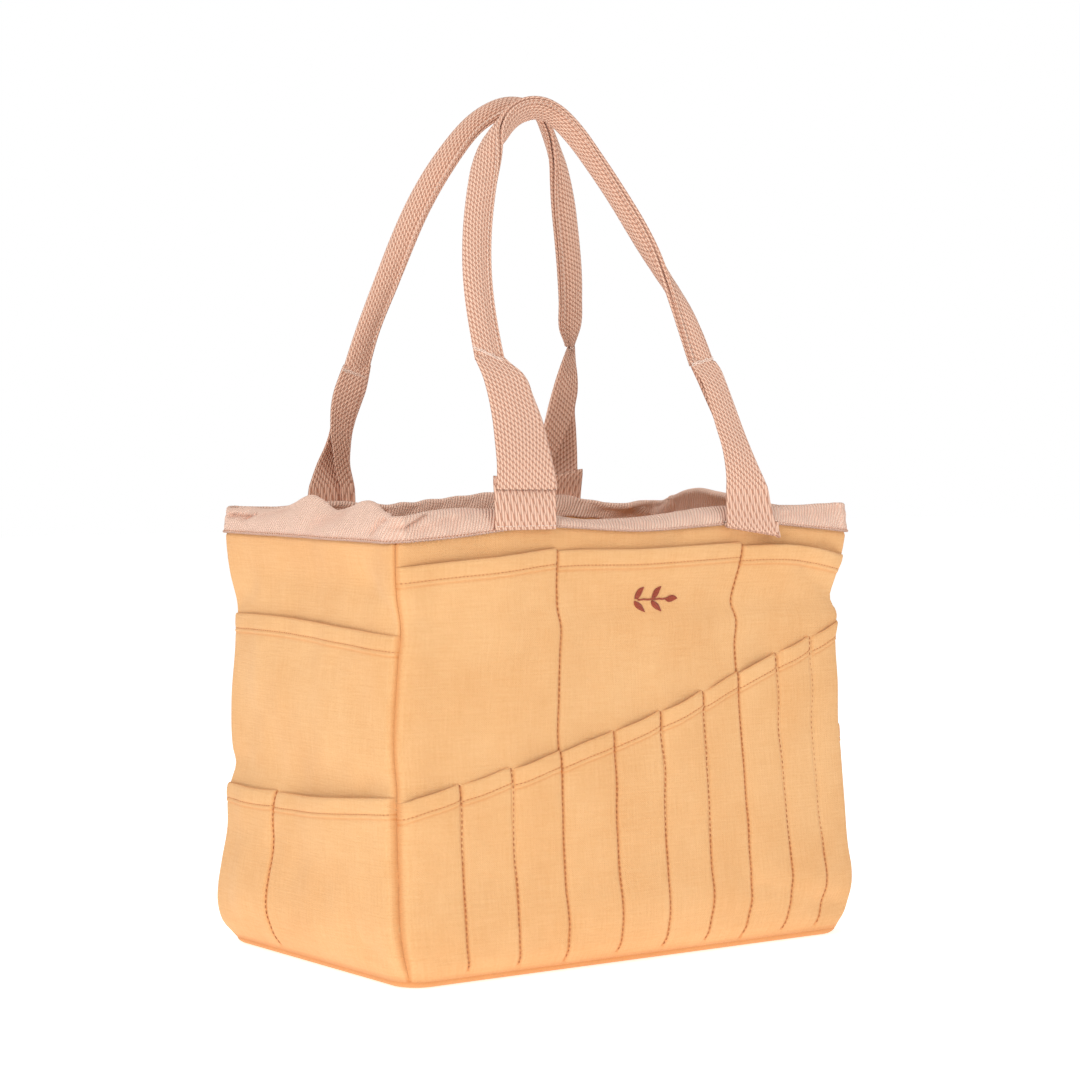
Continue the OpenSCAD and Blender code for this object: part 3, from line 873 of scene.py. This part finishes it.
# Tucks in the tape: (x0, share of the height, x1, share, depth, width).
TAPE_TUCKS = {
    "left": [(-77, 0.62, -62, 0.50, 3.0, 1.8), (-62, 0.50, -54, 0.66, 2.0, 1.6),
             (-48, 0.6, -22, 0.82, 0.8, 1.6), (66, 0.25, 76, 0.8, 1.8, 2.4),
             (10, 0.35, 32, 0.75, 1.2, 5.0)],
    "front": [(-139, 0.45, -126, 0.8, 2.2, 1.6), (-134, 0.25, -112, 0.55, 0.9, 2.4),
              (-112, 0.3, -100, 0.85, 0.9, 2.5), (96, 0.35, 118, 0.6, 0.8, 3.0),
              (118, 0.3, 136, 0.8, 0.8, 3.0), (-34, 0.7, 6, 0.35, 0.8, 3.0)],
    "right": [(-80, 0.3, -66, 0.8, 1.6, 2.6), (66, 0.8, 80, 0.4, 1.8, 2.6)],
    "back": [(-138, 0.3, -122, 0.8, 1.4, 2.6), (120, 0.8, 138, 0.3, 1.4, 2.6)],
}


TAPE_TURN = 5.0              # distance from each corner over which the tape bends round
TAPE_PULL = TAPE_TURN * 1.9  # how strongly each side's direction holds on into the bend


def tape_side(face):
    """Samples of the tape along one side: lower edge, rise, lean, distance from the corner, and tucks."""
    x = np.linspace(-face.half + TAPE_TURN, face.half - TAPE_TURN, int(face.half / 1.05))
    foot = RIM_Z + through(TAPE_FOOT[face.name], x)
    rise = RIM_Z + through(TAPE_RISE[face.name], x) - foot
    scaled = [(x0, s0 * TAPE_W, x1, s1 * TAPE_W, depth, wide) for x0, s0, x1, s1, depth, wide
              in TAPE_TUCKS[face.name]]
    tuck = fold_field(x[:, None], TAPE_SHARES[None, :] * TAPE_W, scaled)
    return face.point(x, foot, 0.2), rise, through(TAPE_LEAN[face.name], x), face.half - np.abs(x), tuck


def tape_samples():
    """The four sides' samples, anticlockwise, joined by a bend at each corner."""
    sides = [tape_side(face) for face in FACES]
    found = []
    for i, face in enumerate(FACES):
        now, after = sides[i], sides[(i + 1) % len(sides)]
        found.append(now)
        t = np.linspace(0, 1, 9)[1:-1, None]
        next_along = FACES[(i + 1) % len(FACES)].along
        bend = hermite(now[0][-1], after[0][0], TAPE_PULL * face.along, TAPE_PULL * next_along, t)
        rise, lean = (mix(now[k][-1], after[k][0], t[:, 0]) for k in (1, 2))
        inside = TAPE_TURN * (1 - 0.5 * np.sin(math.pi * t[:, 0]))
        found.append((bend, rise, lean, inside, mix(now[4][-1], after[4][0], t)))
    return [np.concatenate([group[k] for group in found]) for k in range(5)]


def wrapped(uv, faces, total):
    """uv at each corner of each face, where a closed ring's distances start again after total."""
    at_corners = uv[faces].copy()
    along = at_corners[..., 0]
    behind = (along.max(1, keepdims=True) - along) > total / 2
    at_corners[..., 0] = np.where(behind, along + total, along)
    return at_corners


def make_tape():
    places, rises, leans, corner, tuck = tape_samples()
    shares = TAPE_SHARES
    count = len(places)
    ahead = np.roll(places, -2, 0) - np.roll(places, 2, 0)
    ahead[:, 2] = 0
    out = unit(np.cross(unit(ahead), [0.0, 0.0, 1.0]))
    lean = np.minimum(leans, 0.3 + 0.35 * corner)
    thick = RIM_T * mix(0.7, 1.0, smooth(corner / 15))[:, None, None]
    bow = np.clip(TAPE_W / rises - 1, 0, 0.5)[:, None]
    up = shares + bow * (shares - shares ** 2)
    inward = lean[:, None] * shares ** 1.8
    at = np.cumsum(np.linalg.norm(np.roll(places, -1, 0) - places, axis=1))
    quilt = 0.35 * np.sin(at[:, None] / 3.1 + shares * 4) * np.sin(shares * math.pi)
    skin = places[:, None, :] + out[:, None, :] * (TAPE_T - inward + tuck + quilt)[..., None]
    skin[..., 2] = places[:, None, 2] + rises[:, None] * up
    # The section runs up the outside, over the fold and down the inside, at the rim's thickness.
    slope = np.gradient(skin, axis=1)
    normal = unit(np.cross(np.roll(skin, -1, 0) - np.roll(skin, 1, 0), slope))

    def loop(edge):
        """One surface of the folded tape; edge is its distance in from the outer skin."""
        outside = skin - normal * edge
        inside = skin - normal * (thick - edge)
        radius = thick[:, 0] / 2 - edge
        top = skin[:, -1] - normal[:, -1] * thick[:, 0] / 2
        upward = unit(slope[:, -1])
        turn = [top + normal[:, -1] * radius * math.cos(a) + upward * radius * math.sin(a)
                for a in np.linspace(0, math.pi, 7)[1:-1]]
        return np.concatenate([outside, np.stack(turn, 1), inside[:, ::-1]], 1)

    outer, inner = loop(0.0), loop(TAPE_T * 0.8)
    section = np.concatenate([outer, inner[:, ::-1]], 1)
    sides = section.shape[1]
    faces = ring_faces(count, sides, wrap=True)
    run = np.cumsum(np.linalg.norm(np.diff(section, axis=1, prepend=section[:, :1]), axis=2), axis=1)
    uv = wrapped(np.stack([np.broadcast_to(at[:, None], run.shape), run], -1).reshape(-1, 2), faces, at[-1])
    # Painted shade in the tape's tucks, deeper where a tuck is deeper, and along its lower edge against the
    # wall.
    shade = np.zeros(run.shape)
    shade[:, :len(shares)] = np.clip(-tuck * 0.28, 0, 0.9)
    shade[:, 0] = 0.5
    made = piece("rim_tape_cloth", section.reshape(-1, 3), faces, "tape", uv, shade.ravel())
    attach(made, "bag")
    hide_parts("rim_tape")
    bead = selvage(skin[:, 0] + out * 0.1)
    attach(bead, "bag")
    sewing = looped(skin[:, 1] * 0.35 + skin[:, 0] * 0.65)
    sewn = stitches("tape_stitches", [(sewing, looped(out))], "stitch_thread", 2.2, 1.2, 0.24)
    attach(sewn, "bag")


def selvage(path):
    """The tape's corded lower edge: a thin rope whose strands show as bumps."""
    spots, at = resampled(looped(path), 0.55)
    spots, at = spots[:-1], at[:-1]
    ahead = unit(np.roll(spots, -1, 0) - np.roll(spots, 1, 0))
    side = unit(np.cross(ahead, [0.0, 0.0, 1.0]))
    up = np.cross(side, ahead)
    sides = 6
    turn = np.arange(sides) * 2 * math.pi / sides
    radius = 0.62 + 0.2 * np.sin(at[:, None] * 2 * math.pi / 2.1 + turn[None, :])
    ring = round_rings(spots, radius, side, up, sides)
    uv = np.stack([np.broadcast_to(at[:, None], radius.shape), np.broadcast_to(turn, radius.shape)], -1)
    faces = ring_faces(len(spots), sides, wrap=True)[:, ::-1]
    uv = wrapped(uv.reshape(-1, 2), faces, at[-1])
    # The selvage is painted a little darker throughout: painted shade along the tape's lower edge.
    return piece("tape_selvage", ring.reshape(-1, 3), faces, "tape", uv, np.full(radius.size, 0.35))


# ---------- handles ----------
# They follow the CAD handles: drawn for the front, and turned half way round for the back.

LEG_SPAN = 150.0
WEB_W = (STRAP_HIGH[0] - STRAP_LOW[0]) - LEG_SPAN
WEB_T = STRAP_HIGH[1] - STRAP_LOW[1]
LEG_Y = (STRAP_LOW[1] + STRAP_HIGH[1]) / 2
TACK_Z = 315.0
GRIP_W = 17.6                # the webbing folded in half, less what its fold takes up
GRIP_SEAM = 2.3              # distance of the seam from the sewn edges
APEX_Y = -7.0
ARCH_X = 3.0                 # the arch of a grip: its middle, half its span, and how slim it is
ARCH_HALF = 73.0
ARCH_SLIM = 0.13
TOPS_APART = 1.6             # how much further out each grip's top lies, so that the two don't meet
LEG_FOOT = STRAP_LOW[2] + 3.0   # the webbing ends at the lower edge of the tape
LEAN_TOP = 452.0
LEAN_FROM = RIM_TOP + 2.5
LEAN_EASE = 0.08
STRAP_PROUD = 2.8            # the ends of the webbing lie on the tape, which bulges out over the wall

# Each leg by height: (z, x of the fold, x of the outer layer's selvage, x of the inner one's). The
# webbing is flat at its foot, and folded in half behind itself at its bar tack. Measured.
LEGS = {
    ("front", -1): [
        (226, -51.4, -89.6, -51.4), (248, -52.2, -88.7, -54), (270, -52.5, -85, -58),
        (284, -52.7, -83, -62), (297, -55, -82.4, -67), (305, -56.4, -82.9, -71), (309, -59, -83.6, -75),
        (312, -63, -84.4, -80), (316, -67.3, -85.3, -85)],
    ("front", 1): [
        (226, 97, 59, 97), (238, 96, 60.6, 93), (249, 89.2, 61.6, 80), (259, 84.6, 62.2, 71),
        (269, 82.2, 63, 65.5), (279, 80.4, 62.4, 64), (288, 79.2, 62, 62.8), (298, 77.8, 61.4, 60.4),
        (306, 76.6, 59.8, 58.4), (312, 75.4, 56.7, 56.6), (317, 72.6, 55.4, 55.4)],
    ("back", -1): [
        (226, -53, -92, -53), (241, -54, -92.6, -58), (251, -55.5, -90.8, -65), (262, -57.5, -88.2, -70.7),
        (269, -58.3, -85.8, -72.8), (281, -59, -81.4, -75.5), (290, -59, -78, -77),
        (301, -59.3, -76.7, -75.8), (309, -59.9, -74.3, -74), (319, -61.2, -70, -70),
        (328, -62.8, -66.8, -66.8)],
    ("back", 1): [
        (226, 59.5, 97.5, 59.5), (241, 64.2, 97.3, 70.4), (251, 66.8, 93.6, 75.6), (260, 70, 90.8, 78.8),
        (269, 71.8, 88, 82), (277, 72.7, 86.9, 85.4), (284, 72.4, 87.4, 87.3), (293, 71, 88.5, 89.1),
        (301, 69.7, 88.6, 89.4), (308, 69.7, 88, 88.4), (315, 70, 86.8, 87)],
}
LAYER_SKEW = 0.72            # a layer that lies further out also lies this share further aside
# Radius of a leg's fold by height.
FOLD_RADII = [(226, 1.15), (245, 1.2), (262, 2.0), (285, 2.6), (303, 2.4), (312, 1.4), (330, 1.15)]

# The grips, from the left bar tack (0) over the top to the right one (1): height of the top, the
# shares where the webbing starts and ends, how loosely it is folded where it twists, its sideways
# shift from an arch that is slimmer than an ellipse, how wide it is, and directions towards its
# sewn edges, evenly spaced along it. The shifts and widths are measured, then smoothed.
GRIPS = {
    "front": {
        "apex": 453.2,
        "ends": (0.0, 1.0),
        "loose": 1.1,
        "shift": [(0, -6.4), (0.1, -10.8), (0.25, -10.6), (0.36, -9.6), (0.46, -8.6), (0.54, -11.8),
                  (0.62, -16.0), (0.7, -16.8), (0.79, -15.4), (0.87, -13.2), (0.94, -10.8), (1, -11.6)],
        "width": [(0, 0.98), (0.08, 0.9), (0.3, 0.86), (0.45, 0.84), (0.55, 0.76), (0.7, 0.74), (0.8, 0.82),
                  (1, 0.9)],
        "turns": [[1, 0, 0], [1, -0.3, 0.2], [0, -0.5, 0.9], [0.2, -0.9, 0.45], [0, -1, 0], [-1, 0, 0]]},
    "back": {
        "apex": 456.5,
        "ends": (0.028, 1.01),
        "loose": 0.0,
        "shift": [(0, 4.2), (0.1, 6.6), (0.2, 10.0), (0.3, 11.4), (0.5, 4.2), (0.65, 5.8), (0.8, 6.6),
                  (0.9, 3.6), (0.96, 3.2), (1, 2.2)],
        "width": [(0, 0.2), (0.028, 0.24), (0.05, 0.74), (0.09, 0.84), (0.3, 0.84), (0.5, 0.74),
                  (0.62, 0.68), (0.75, 0.77), (0.88, 0.77), (0.95, 0.74), (1, 0.84)],
        "turns": [[1, 0, 0], [1, 0.2, 0], [0.3, 0.9, -0.6], [-0.35, 0.8, -0.6], [-0.6, 0.8, -0.2],
                  [-1, 0.1, 0]]},
}
# Heights of each bar tack's left and right ends.
TACKS = {("front", -1): (320.0, 314.0), ("front", 1): (313.5, 317.0),
         ("back", -1): (327.0, 327.0), ("back", 1): (309.0, 313.0)}
TACK_INSET = 1.5             # a row of stitches stops this far inside the webbing's edges


def over_tape(z):
    """How much further out the ends of the webbing lie, where the tape bulges under them."""
    return STRAP_PROUD * smooth((RIM_TOP + 2 - z) / 16)


def lean_y(z):
    """The front handle's y by height: upright at its foot, then leaning in over the mouth."""
    t = (z - LEAN_FROM) / (LEAN_TOP - LEAN_FROM)
    slow = t ** 2 / (2 * LEAN_EASE)
    lean = np.where(t <= 0, 0, np.where(t < LEAN_EASE, slow, t - LEAN_EASE / 2) / (1 - LEAN_EASE / 2))
    apart = TOPS_APART * smooth((z - 425) / 22)
    return mix(LEG_Y, APEX_Y, np.minimum(lean, 1.0)) - apart - over_tape(z)


def framed(points, across):
    """Directions at each point of a swept strip: across it, and out of its face."""
    ahead = unit(np.gradient(points, axis=0))
    across = unit(across - np.sum(across * ahead, 1, keepdims=True) * ahead)
    return across, np.cross(ahead, across)


def strip_shell(middle, across, face, section, uv_across):
    """A closed shell swept along middle; section is (rings, sides, 2): across and out of the face."""
    rings, sides = section.shape[:2]
    points = middle[:, None, :] + section[..., :1] * across[:, None, :]
    points = points + section[..., 1:] * face[:, None, :]
    uv = np.stack([uv_across, np.broadcast_to(distances(middle)[:, None], uv_across.shape)], -1)
    return points.reshape(-1, 3), tube_faces(rings, sides), uv.reshape(-1, 2)


def grip_section(fat):
    """Webbing folded in half: a plump rounded fold, and a slit between its two sewn edges. fat is
    from 0, pressed flat, to 1."""
    w = GRIP_W / 2
    half = [(w - 2.6, 0.25, 0), (w - 0.5, 0.5, 0), (w, 1.2, 0), (w - 0.2, 2.0, 0), (w - 1.0, 2.35, 0.1),
            (w - GRIP_SEAM, 1.15, 0.1), (w - 4.3, 1.6, 0.4), (w - 6.6, 2.4, 1.0), (-1.5, 2.5, 1.4),
            (-4.4, 2.45, 1.5), (-6.6, 2.2, 1.2), (-w + 0.8, 1.4, 0.8), (-w, 0.4, 0.2)]
    shape = [(x, flat + fat * more) for x, flat, more in half]
    return np.array(shape + [(x, -y) for x, y in reversed(shape)])


def grip_shell(name):
    look = GRIPS[name]
    share = np.linspace(*look["ends"], 190)
    a = math.pi * (1 - share)
    z = TACK_Z + (look["apex"] - TACK_Z) * np.sin(a)
    arch = ARCH_X + ARCH_HALF * np.cos(a) * (1 - ARCH_SLIM * np.abs(np.sin(2 * a)))
    x = arch + through(look["shift"], share)
    middle = np.stack([x, lean_y(z), z], -1)
    turns = np.array(look["turns"], float)
    s = share * (len(turns) - 1)
    i = np.clip(np.floor(s).astype(int), 0, len(turns) - 2)
    across, face = framed(middle, mix(turns[i], turns[i + 1], smooth(s - i)[:, None]))
    fat = smooth(np.minimum(share, 1 - share) / 0.12) * (1 - 0.6 * bell(share - 0.5, 0.13))
    fat = fat + look["loose"] * bell(share - 0.35, 0.05)
    wide = through(look["width"], share)
    section = np.array([grip_section(f) for f in fat])
    section[..., 0] *= wide[:, None]
    uv_across = np.broadcast_to(distances(grip_section(0.5)), section.shape[:2])
    shell = strip_shell(middle, across, face, section, uv_across)
    return shell, (middle, across, face, wide)


def leg_section(fold, outer, inner, radius, crown):
    """Middle line of the webbing's section: the outer layer, a turn, and the layer behind it."""
    side = 1 if fold > outer else -1
    behind = abs(fold - inner)
    angle = math.pi * float(smooth(behind / 6.0))
    depth = radius * angle / math.pi
    share = np.linspace(0, 1, 16)
    bend = radius * math.sin(min(angle, math.pi / 2))
    across = fold - side * bend - outer
    front = [(outer + across * k, depth + crown * math.sin(math.pi * k)) for k in share]
    x, y = front[-1]
    turned = [(x + side * radius * math.sin(k), y - radius * (1 - math.cos(k)))
              for k in np.linspace(0, angle, 8)[1:]]
    x, y = turned[-1]
    rest = max(behind - radius * math.sin(angle / 2), 0.05)
    ahead = (side * math.cos(angle), -math.sin(angle))
    back = [(x + ahead[0] * rest * k, y + ahead[1] * rest * k) for k in np.linspace(0, 1, 12)[1:]]
    return np.array(front + turned + back)


def thickened(line):
    """A closed loop half of the webbing's thickness to either side of a line."""
    ahead = unit(np.gradient(line, axis=0))
    aside = np.stack([-ahead[:, 1], ahead[:, 0]], 1) * WEB_T / 2
    thin = np.concatenate([[0.45, 0.9], np.ones(len(line) - 4), [0.9, 0.45]])[:, None]
    return np.concatenate([line + aside * thin, (line - aside * thin)[::-1]])


def leg_shell(name, side):
    keys = LEGS[name, side]
    z = np.arange(LEG_FOOT, keys[-1][0] + 0.5, 1.6)
    middle = np.stack([-LAYER_SKEW * over_tape(z), lean_y(z), z], -1)
    across, face = framed(middle, np.broadcast_to([1.0, 0.0, 0.0], middle.shape))
    values = through(keys, z)
    radii = through(FOLD_RADII, z)
    crowns = 1.3 * smooth((z - 240) / 25) * smooth((keys[-1][0] - z) / 20)
    loops, uvs = [], []
    for (fold, outer, inner), radius, crown in zip(values, radii, crowns):
        line = leg_section(fold, outer, inner, radius, crown)
        run = distances(line)
        run = run * WEB_W / run[-1]
        loop = thickened(line)
        uv = np.concatenate([run, run[::-1]])
        if fold < outer:
            loop, uv = loop[::-1], uv[::-1]
        loops.append(loop)
        uvs.append(uv)
    loops = np.array(loops)
    loops[..., 0] -= LAYER_SKEW * loops[..., 1]
    return strip_shell(middle, across, -face, loops[:, ::-1], np.array(uvs)[:, ::-1])


def placed(points, name):
    """The back handle is drawn like the front one, and turned half way round the bag."""
    return points * np.array([-1.0, -1.0, 1.0]) if name == "back" else points


def make_handle(name):
    grip, (middle, across, face, wide) = grip_shell(name)
    shells = [grip, leg_shell(name, -1), leg_shell(name, 1)]
    points, faces = joined([shell[:2] for shell in shells])
    uv = np.concatenate([shell[2] for shell in shells])
    made = piece(f"{name}_handle_webbing", placed(points, name), faces, "webbing", uv)
    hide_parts(f"{name}_handle", f"{name}_strap_ends")
    hinge = Vector(placed(np.array([0.0, LEG_Y, STRAP_HIGH[2]]), name) / MM)
    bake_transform(made)

    lines = []
    inset = (GRIP_W / 2 - GRIP_SEAM) * wide[:, None]
    for facing in (-1, 1):
        line = middle + across * inset + face * facing * 1.35
        # The back grip's thread stops short of its ends, where the webbing narrows.
        keep = slice(8, -8) if name == "back" else slice(2, -2)
        lines.append((placed(line[keep], name), placed(face[keep] * facing, name)))
    sewn = stitches(f"{name}_grip_stitches", lines, "tack_thread", 2.7, 1.9, 0.28)
    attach(sewn, f"{name}_strap")
    make_tacks(name)


def make_tacks(name):
    """Bar tacks: close rows of pale thread across each leg, where the webbing is folded in half."""
    lines = []
    for side in (-1, 1):
        left_z, right_z = TACKS[name, side]
        fold, outer, _ = through(LEGS[name, side], (left_z + right_z) / 2)
        left, right = min(fold, outer) + TACK_INSET, max(fold, outer) - TACK_INSET
        for row in np.arange(-0.5, 0.6, 0.5):
            share = np.linspace(0, 1, 14)
            z = mix(left_z, right_z, share) + row + 0.3 * np.sin(share * 17 + row * 5)
            line = np.stack([mix(left, right, share), lean_y(z), z], -1)
            lean = unit(np.stack([np.zeros(14), lean_y(z + 1) - lean_y(z - 1), np.full(14, 2.0)], -1))
            out = np.cross(np.array([1.0, 0.0, 0.0]), lean)
            for facing in (-1, 1):
                at = line + (out - np.array([LAYER_SKEW, 0.0, 0.0])) * facing * 2.45
                lines.append((placed(at, name), placed(out * facing, name)))
    made = stitches(f"{name}_bar_tacks", lines, "tack_thread", 1.3, 1.6, 0.32)
    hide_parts(f"{name}_handle_tacks")
    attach(made, f"{name}_strap")


def make_strap_stitches(name):
    """Rows of stitches that hold the ends of the webbing to the tape."""
    lines = []
    for side in (-1, 1):
        fold, outer, _ = LEGS[name, side][0][1:]
        x = np.linspace(min(fold, outer) + TACK_INSET, max(fold, outer) - TACK_INSET, 30)
        x = x - LAYER_SKEW * STRAP_PROUD
        y = LEG_Y - WEB_T / 2 - STRAP_PROUD - 0.1
        line = np.stack([x, np.full(30, y), np.full(30, LEG_FOOT + 2.0)], 1)
        out = np.broadcast_to([0.0, -1.0, 0.0], line.shape)
        lines.append((placed(line, name), placed(out, name)))
    made = stitches(f"{name}_strap_stitches", lines, "tack_thread", 2.4, 1.6, 0.26)
    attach(made, "bag")


# ---------- embroidery ----------

def make_sprig():
    """Five leaves and a stem in satin stitch: close parallel threads laid across each shape."""
    pocket = POCKETS["front_upper"]
    right, left = SPRIG_HIGH[0], SPRIG_LOW[0]
    z_mid = (SPRIG_LOW[2] + SPRIG_HIGH[2]) / 2
    stem = 26.0
    leaf_l, leaf_h = 8.0, 3.4
    root = right - leaf_l
    lines = []

    def on_cloth(x, z, proud):
        return pocket.point(x, z, proud), pocket.normal(x, z)

    def satin(x0, z0, turn, length, height):
        ahead = np.array([math.cos(turn), math.sin(turn)])
        aside = np.array([-ahead[1], ahead[0]])
        slant = ahead * 0.45 + aside
        for s in np.arange(0.03, 0.98, 0.34 / length):
            half = height / 2 * math.sin(math.pi * s ** 0.85) + 0.12
            spot = np.array([x0, z0]) + ahead * length * s
            across = np.linspace(-half, half, 5)[:, None] * slant
            xz = spot + across
            crown = 0.25 + 0.35 * (1 - np.linspace(-1, 1, 5) ** 2)
            lines.append(on_cloth(xz[:, 0], xz[:, 1], crown))

    satin(root, z_mid, 0.0, leaf_l, leaf_h)
    for x in (root - leaf_l * 2.5, root - leaf_l * 1.125):
        for s in (-1, 1):
            satin(x, z_mid + s * 0.6, s * math.radians(48), leaf_l, leaf_h)
    threads = [one_thread(*line, 0.19) for line in lines]
    x = np.linspace(max(left, root - stem + leaf_l), root + 0.5, 40)
    for shift in (-0.28, 0.0, 0.28):
        threads.append(one_thread(*on_cloth(x, z_mid + shift + 0.12 * np.sin(x * 1.3), 0.3), 0.2))
    made = piece("embroidered_sprig_thread", *joined(threads), "embroidery_thread")
    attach(made, "bag")
    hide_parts("embroidered_sprig")


def one_thread(line, normals, radius):
    """A thin tube along a short line, closed at both ends."""
    side = unit(np.cross(unit(np.gradient(line, axis=0)), normals))
    rings = round_rings(line, radius, side, normals, THREAD_SIDES)
    return rings.reshape(-1, 3), tube_faces(len(line), THREAD_SIDES)


# ---------- stage ----------

def make_stage():
    bpy.ops.mesh.primitive_plane_add(size=12, location=(0, 0, -0.0004))
    floor = bpy.context.object
    floor.name = "studio_floor"
    material = bpy.data.materials.new("pale_floor")
    material.use_nodes = True
    shader = material.node_tree.nodes["Principled BSDF"]
    shader.inputs["Base Color"].default_value = (0.9, 0.9, 0.9, 1)
    shader.inputs["Emission Color"].default_value = (1, 1, 1, 1)
    shader.inputs["Emission Strength"].default_value = 0.62
    shader.inputs["Roughness"].default_value = 0.8
    floor.data.materials.append(material)


def area_light(name, place, size, power):
    data = bpy.data.lights.new(name, "AREA")
    data.shape = "DISK"
    data.size = size
    data.energy = power
    light = bpy.data.objects.new(name, data)
    light.location = place
    aim = Vector((0, 0, 0.2)) - Vector(place)
    light.rotation_mode = "QUATERNION"
    light.rotation_quaternion = aim.to_track_quat("-Z", "Y")
    bpy.context.scene.collection.objects.link(light)


def make_lights():
    world = bpy.data.worlds.new("studio")
    world.use_nodes = True
    nodes, links = world.node_tree.nodes, world.node_tree.links
    # A soft light from all round, against a backdrop that the camera sees as white.
    around, backdrop = nodes["Background"], nodes.new("ShaderNodeBackground")
    either = nodes.new("ShaderNodeMixShader")
    links.new(nodes.new("ShaderNodeLightPath").outputs["Is Camera Ray"], either.inputs[0])
    for i, (node, strength) in enumerate([(around, 0.44), (backdrop, 1.0)]):
        node.inputs["Color"].default_value = (1, 1, 1, 1)
        node.inputs["Strength"].default_value = strength
        links.new(node.outputs[0], either.inputs[i + 1])
    links.new(either.outputs[0], nodes["World Output"].inputs["Surface"])
    bpy.context.scene.world = world
    area_light("key", (-2.1, -1.0, 1.5), 1.3, 28)
    area_light("fill", (1.0, -2.0, 1.1), 1.6, 9.5)
    area_light("top", (0.1, 0.3, 2.2), 1.6, 10)
    bpy.context.scene.view_settings.view_transform = "Standard"


def make_camera():
    """The photograph's camera, which a scratch script fitted to the bag's corners."""
    aim = Vector((0.0008, 0.0, 0.2187))
    azimuth, elevation, distance = math.radians(-35.72), math.radians(2.05), 1.5594
    back = Vector((math.sin(azimuth) * math.cos(elevation), -math.cos(azimuth) * math.cos(elevation),
                   math.sin(elevation)))
    data = bpy.data.cameras.new("camera")
    data.lens = 94.63
    data.sensor_width = 36.0
    camera = bpy.data.objects.new("camera", data)
    camera.location = aim + back * distance
    camera.rotation_mode = "QUATERNION"
    camera.rotation_quaternion = (-back).to_track_quat("-Z", "Y")
    bpy.context.scene.collection.objects.link(camera)
    bpy.context.scene.camera = camera


# ---------- everything ----------

make_camera()
make_base()
make_lining()
for face in FACES:
    make_wall(face)
for pocket in POCKETS.values():
    pocket.make()
for face in FACES:
    make_pocket_stitches(face)
make_tape()
make_handle("front")
make_handle("back")
make_strap_stitches("front")
make_strap_stitches("back")
make_sprig()
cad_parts["base_board"].data.materials.clear()
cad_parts["base_board"].data.materials.append(BOARD)
make_stage()
make_lights()
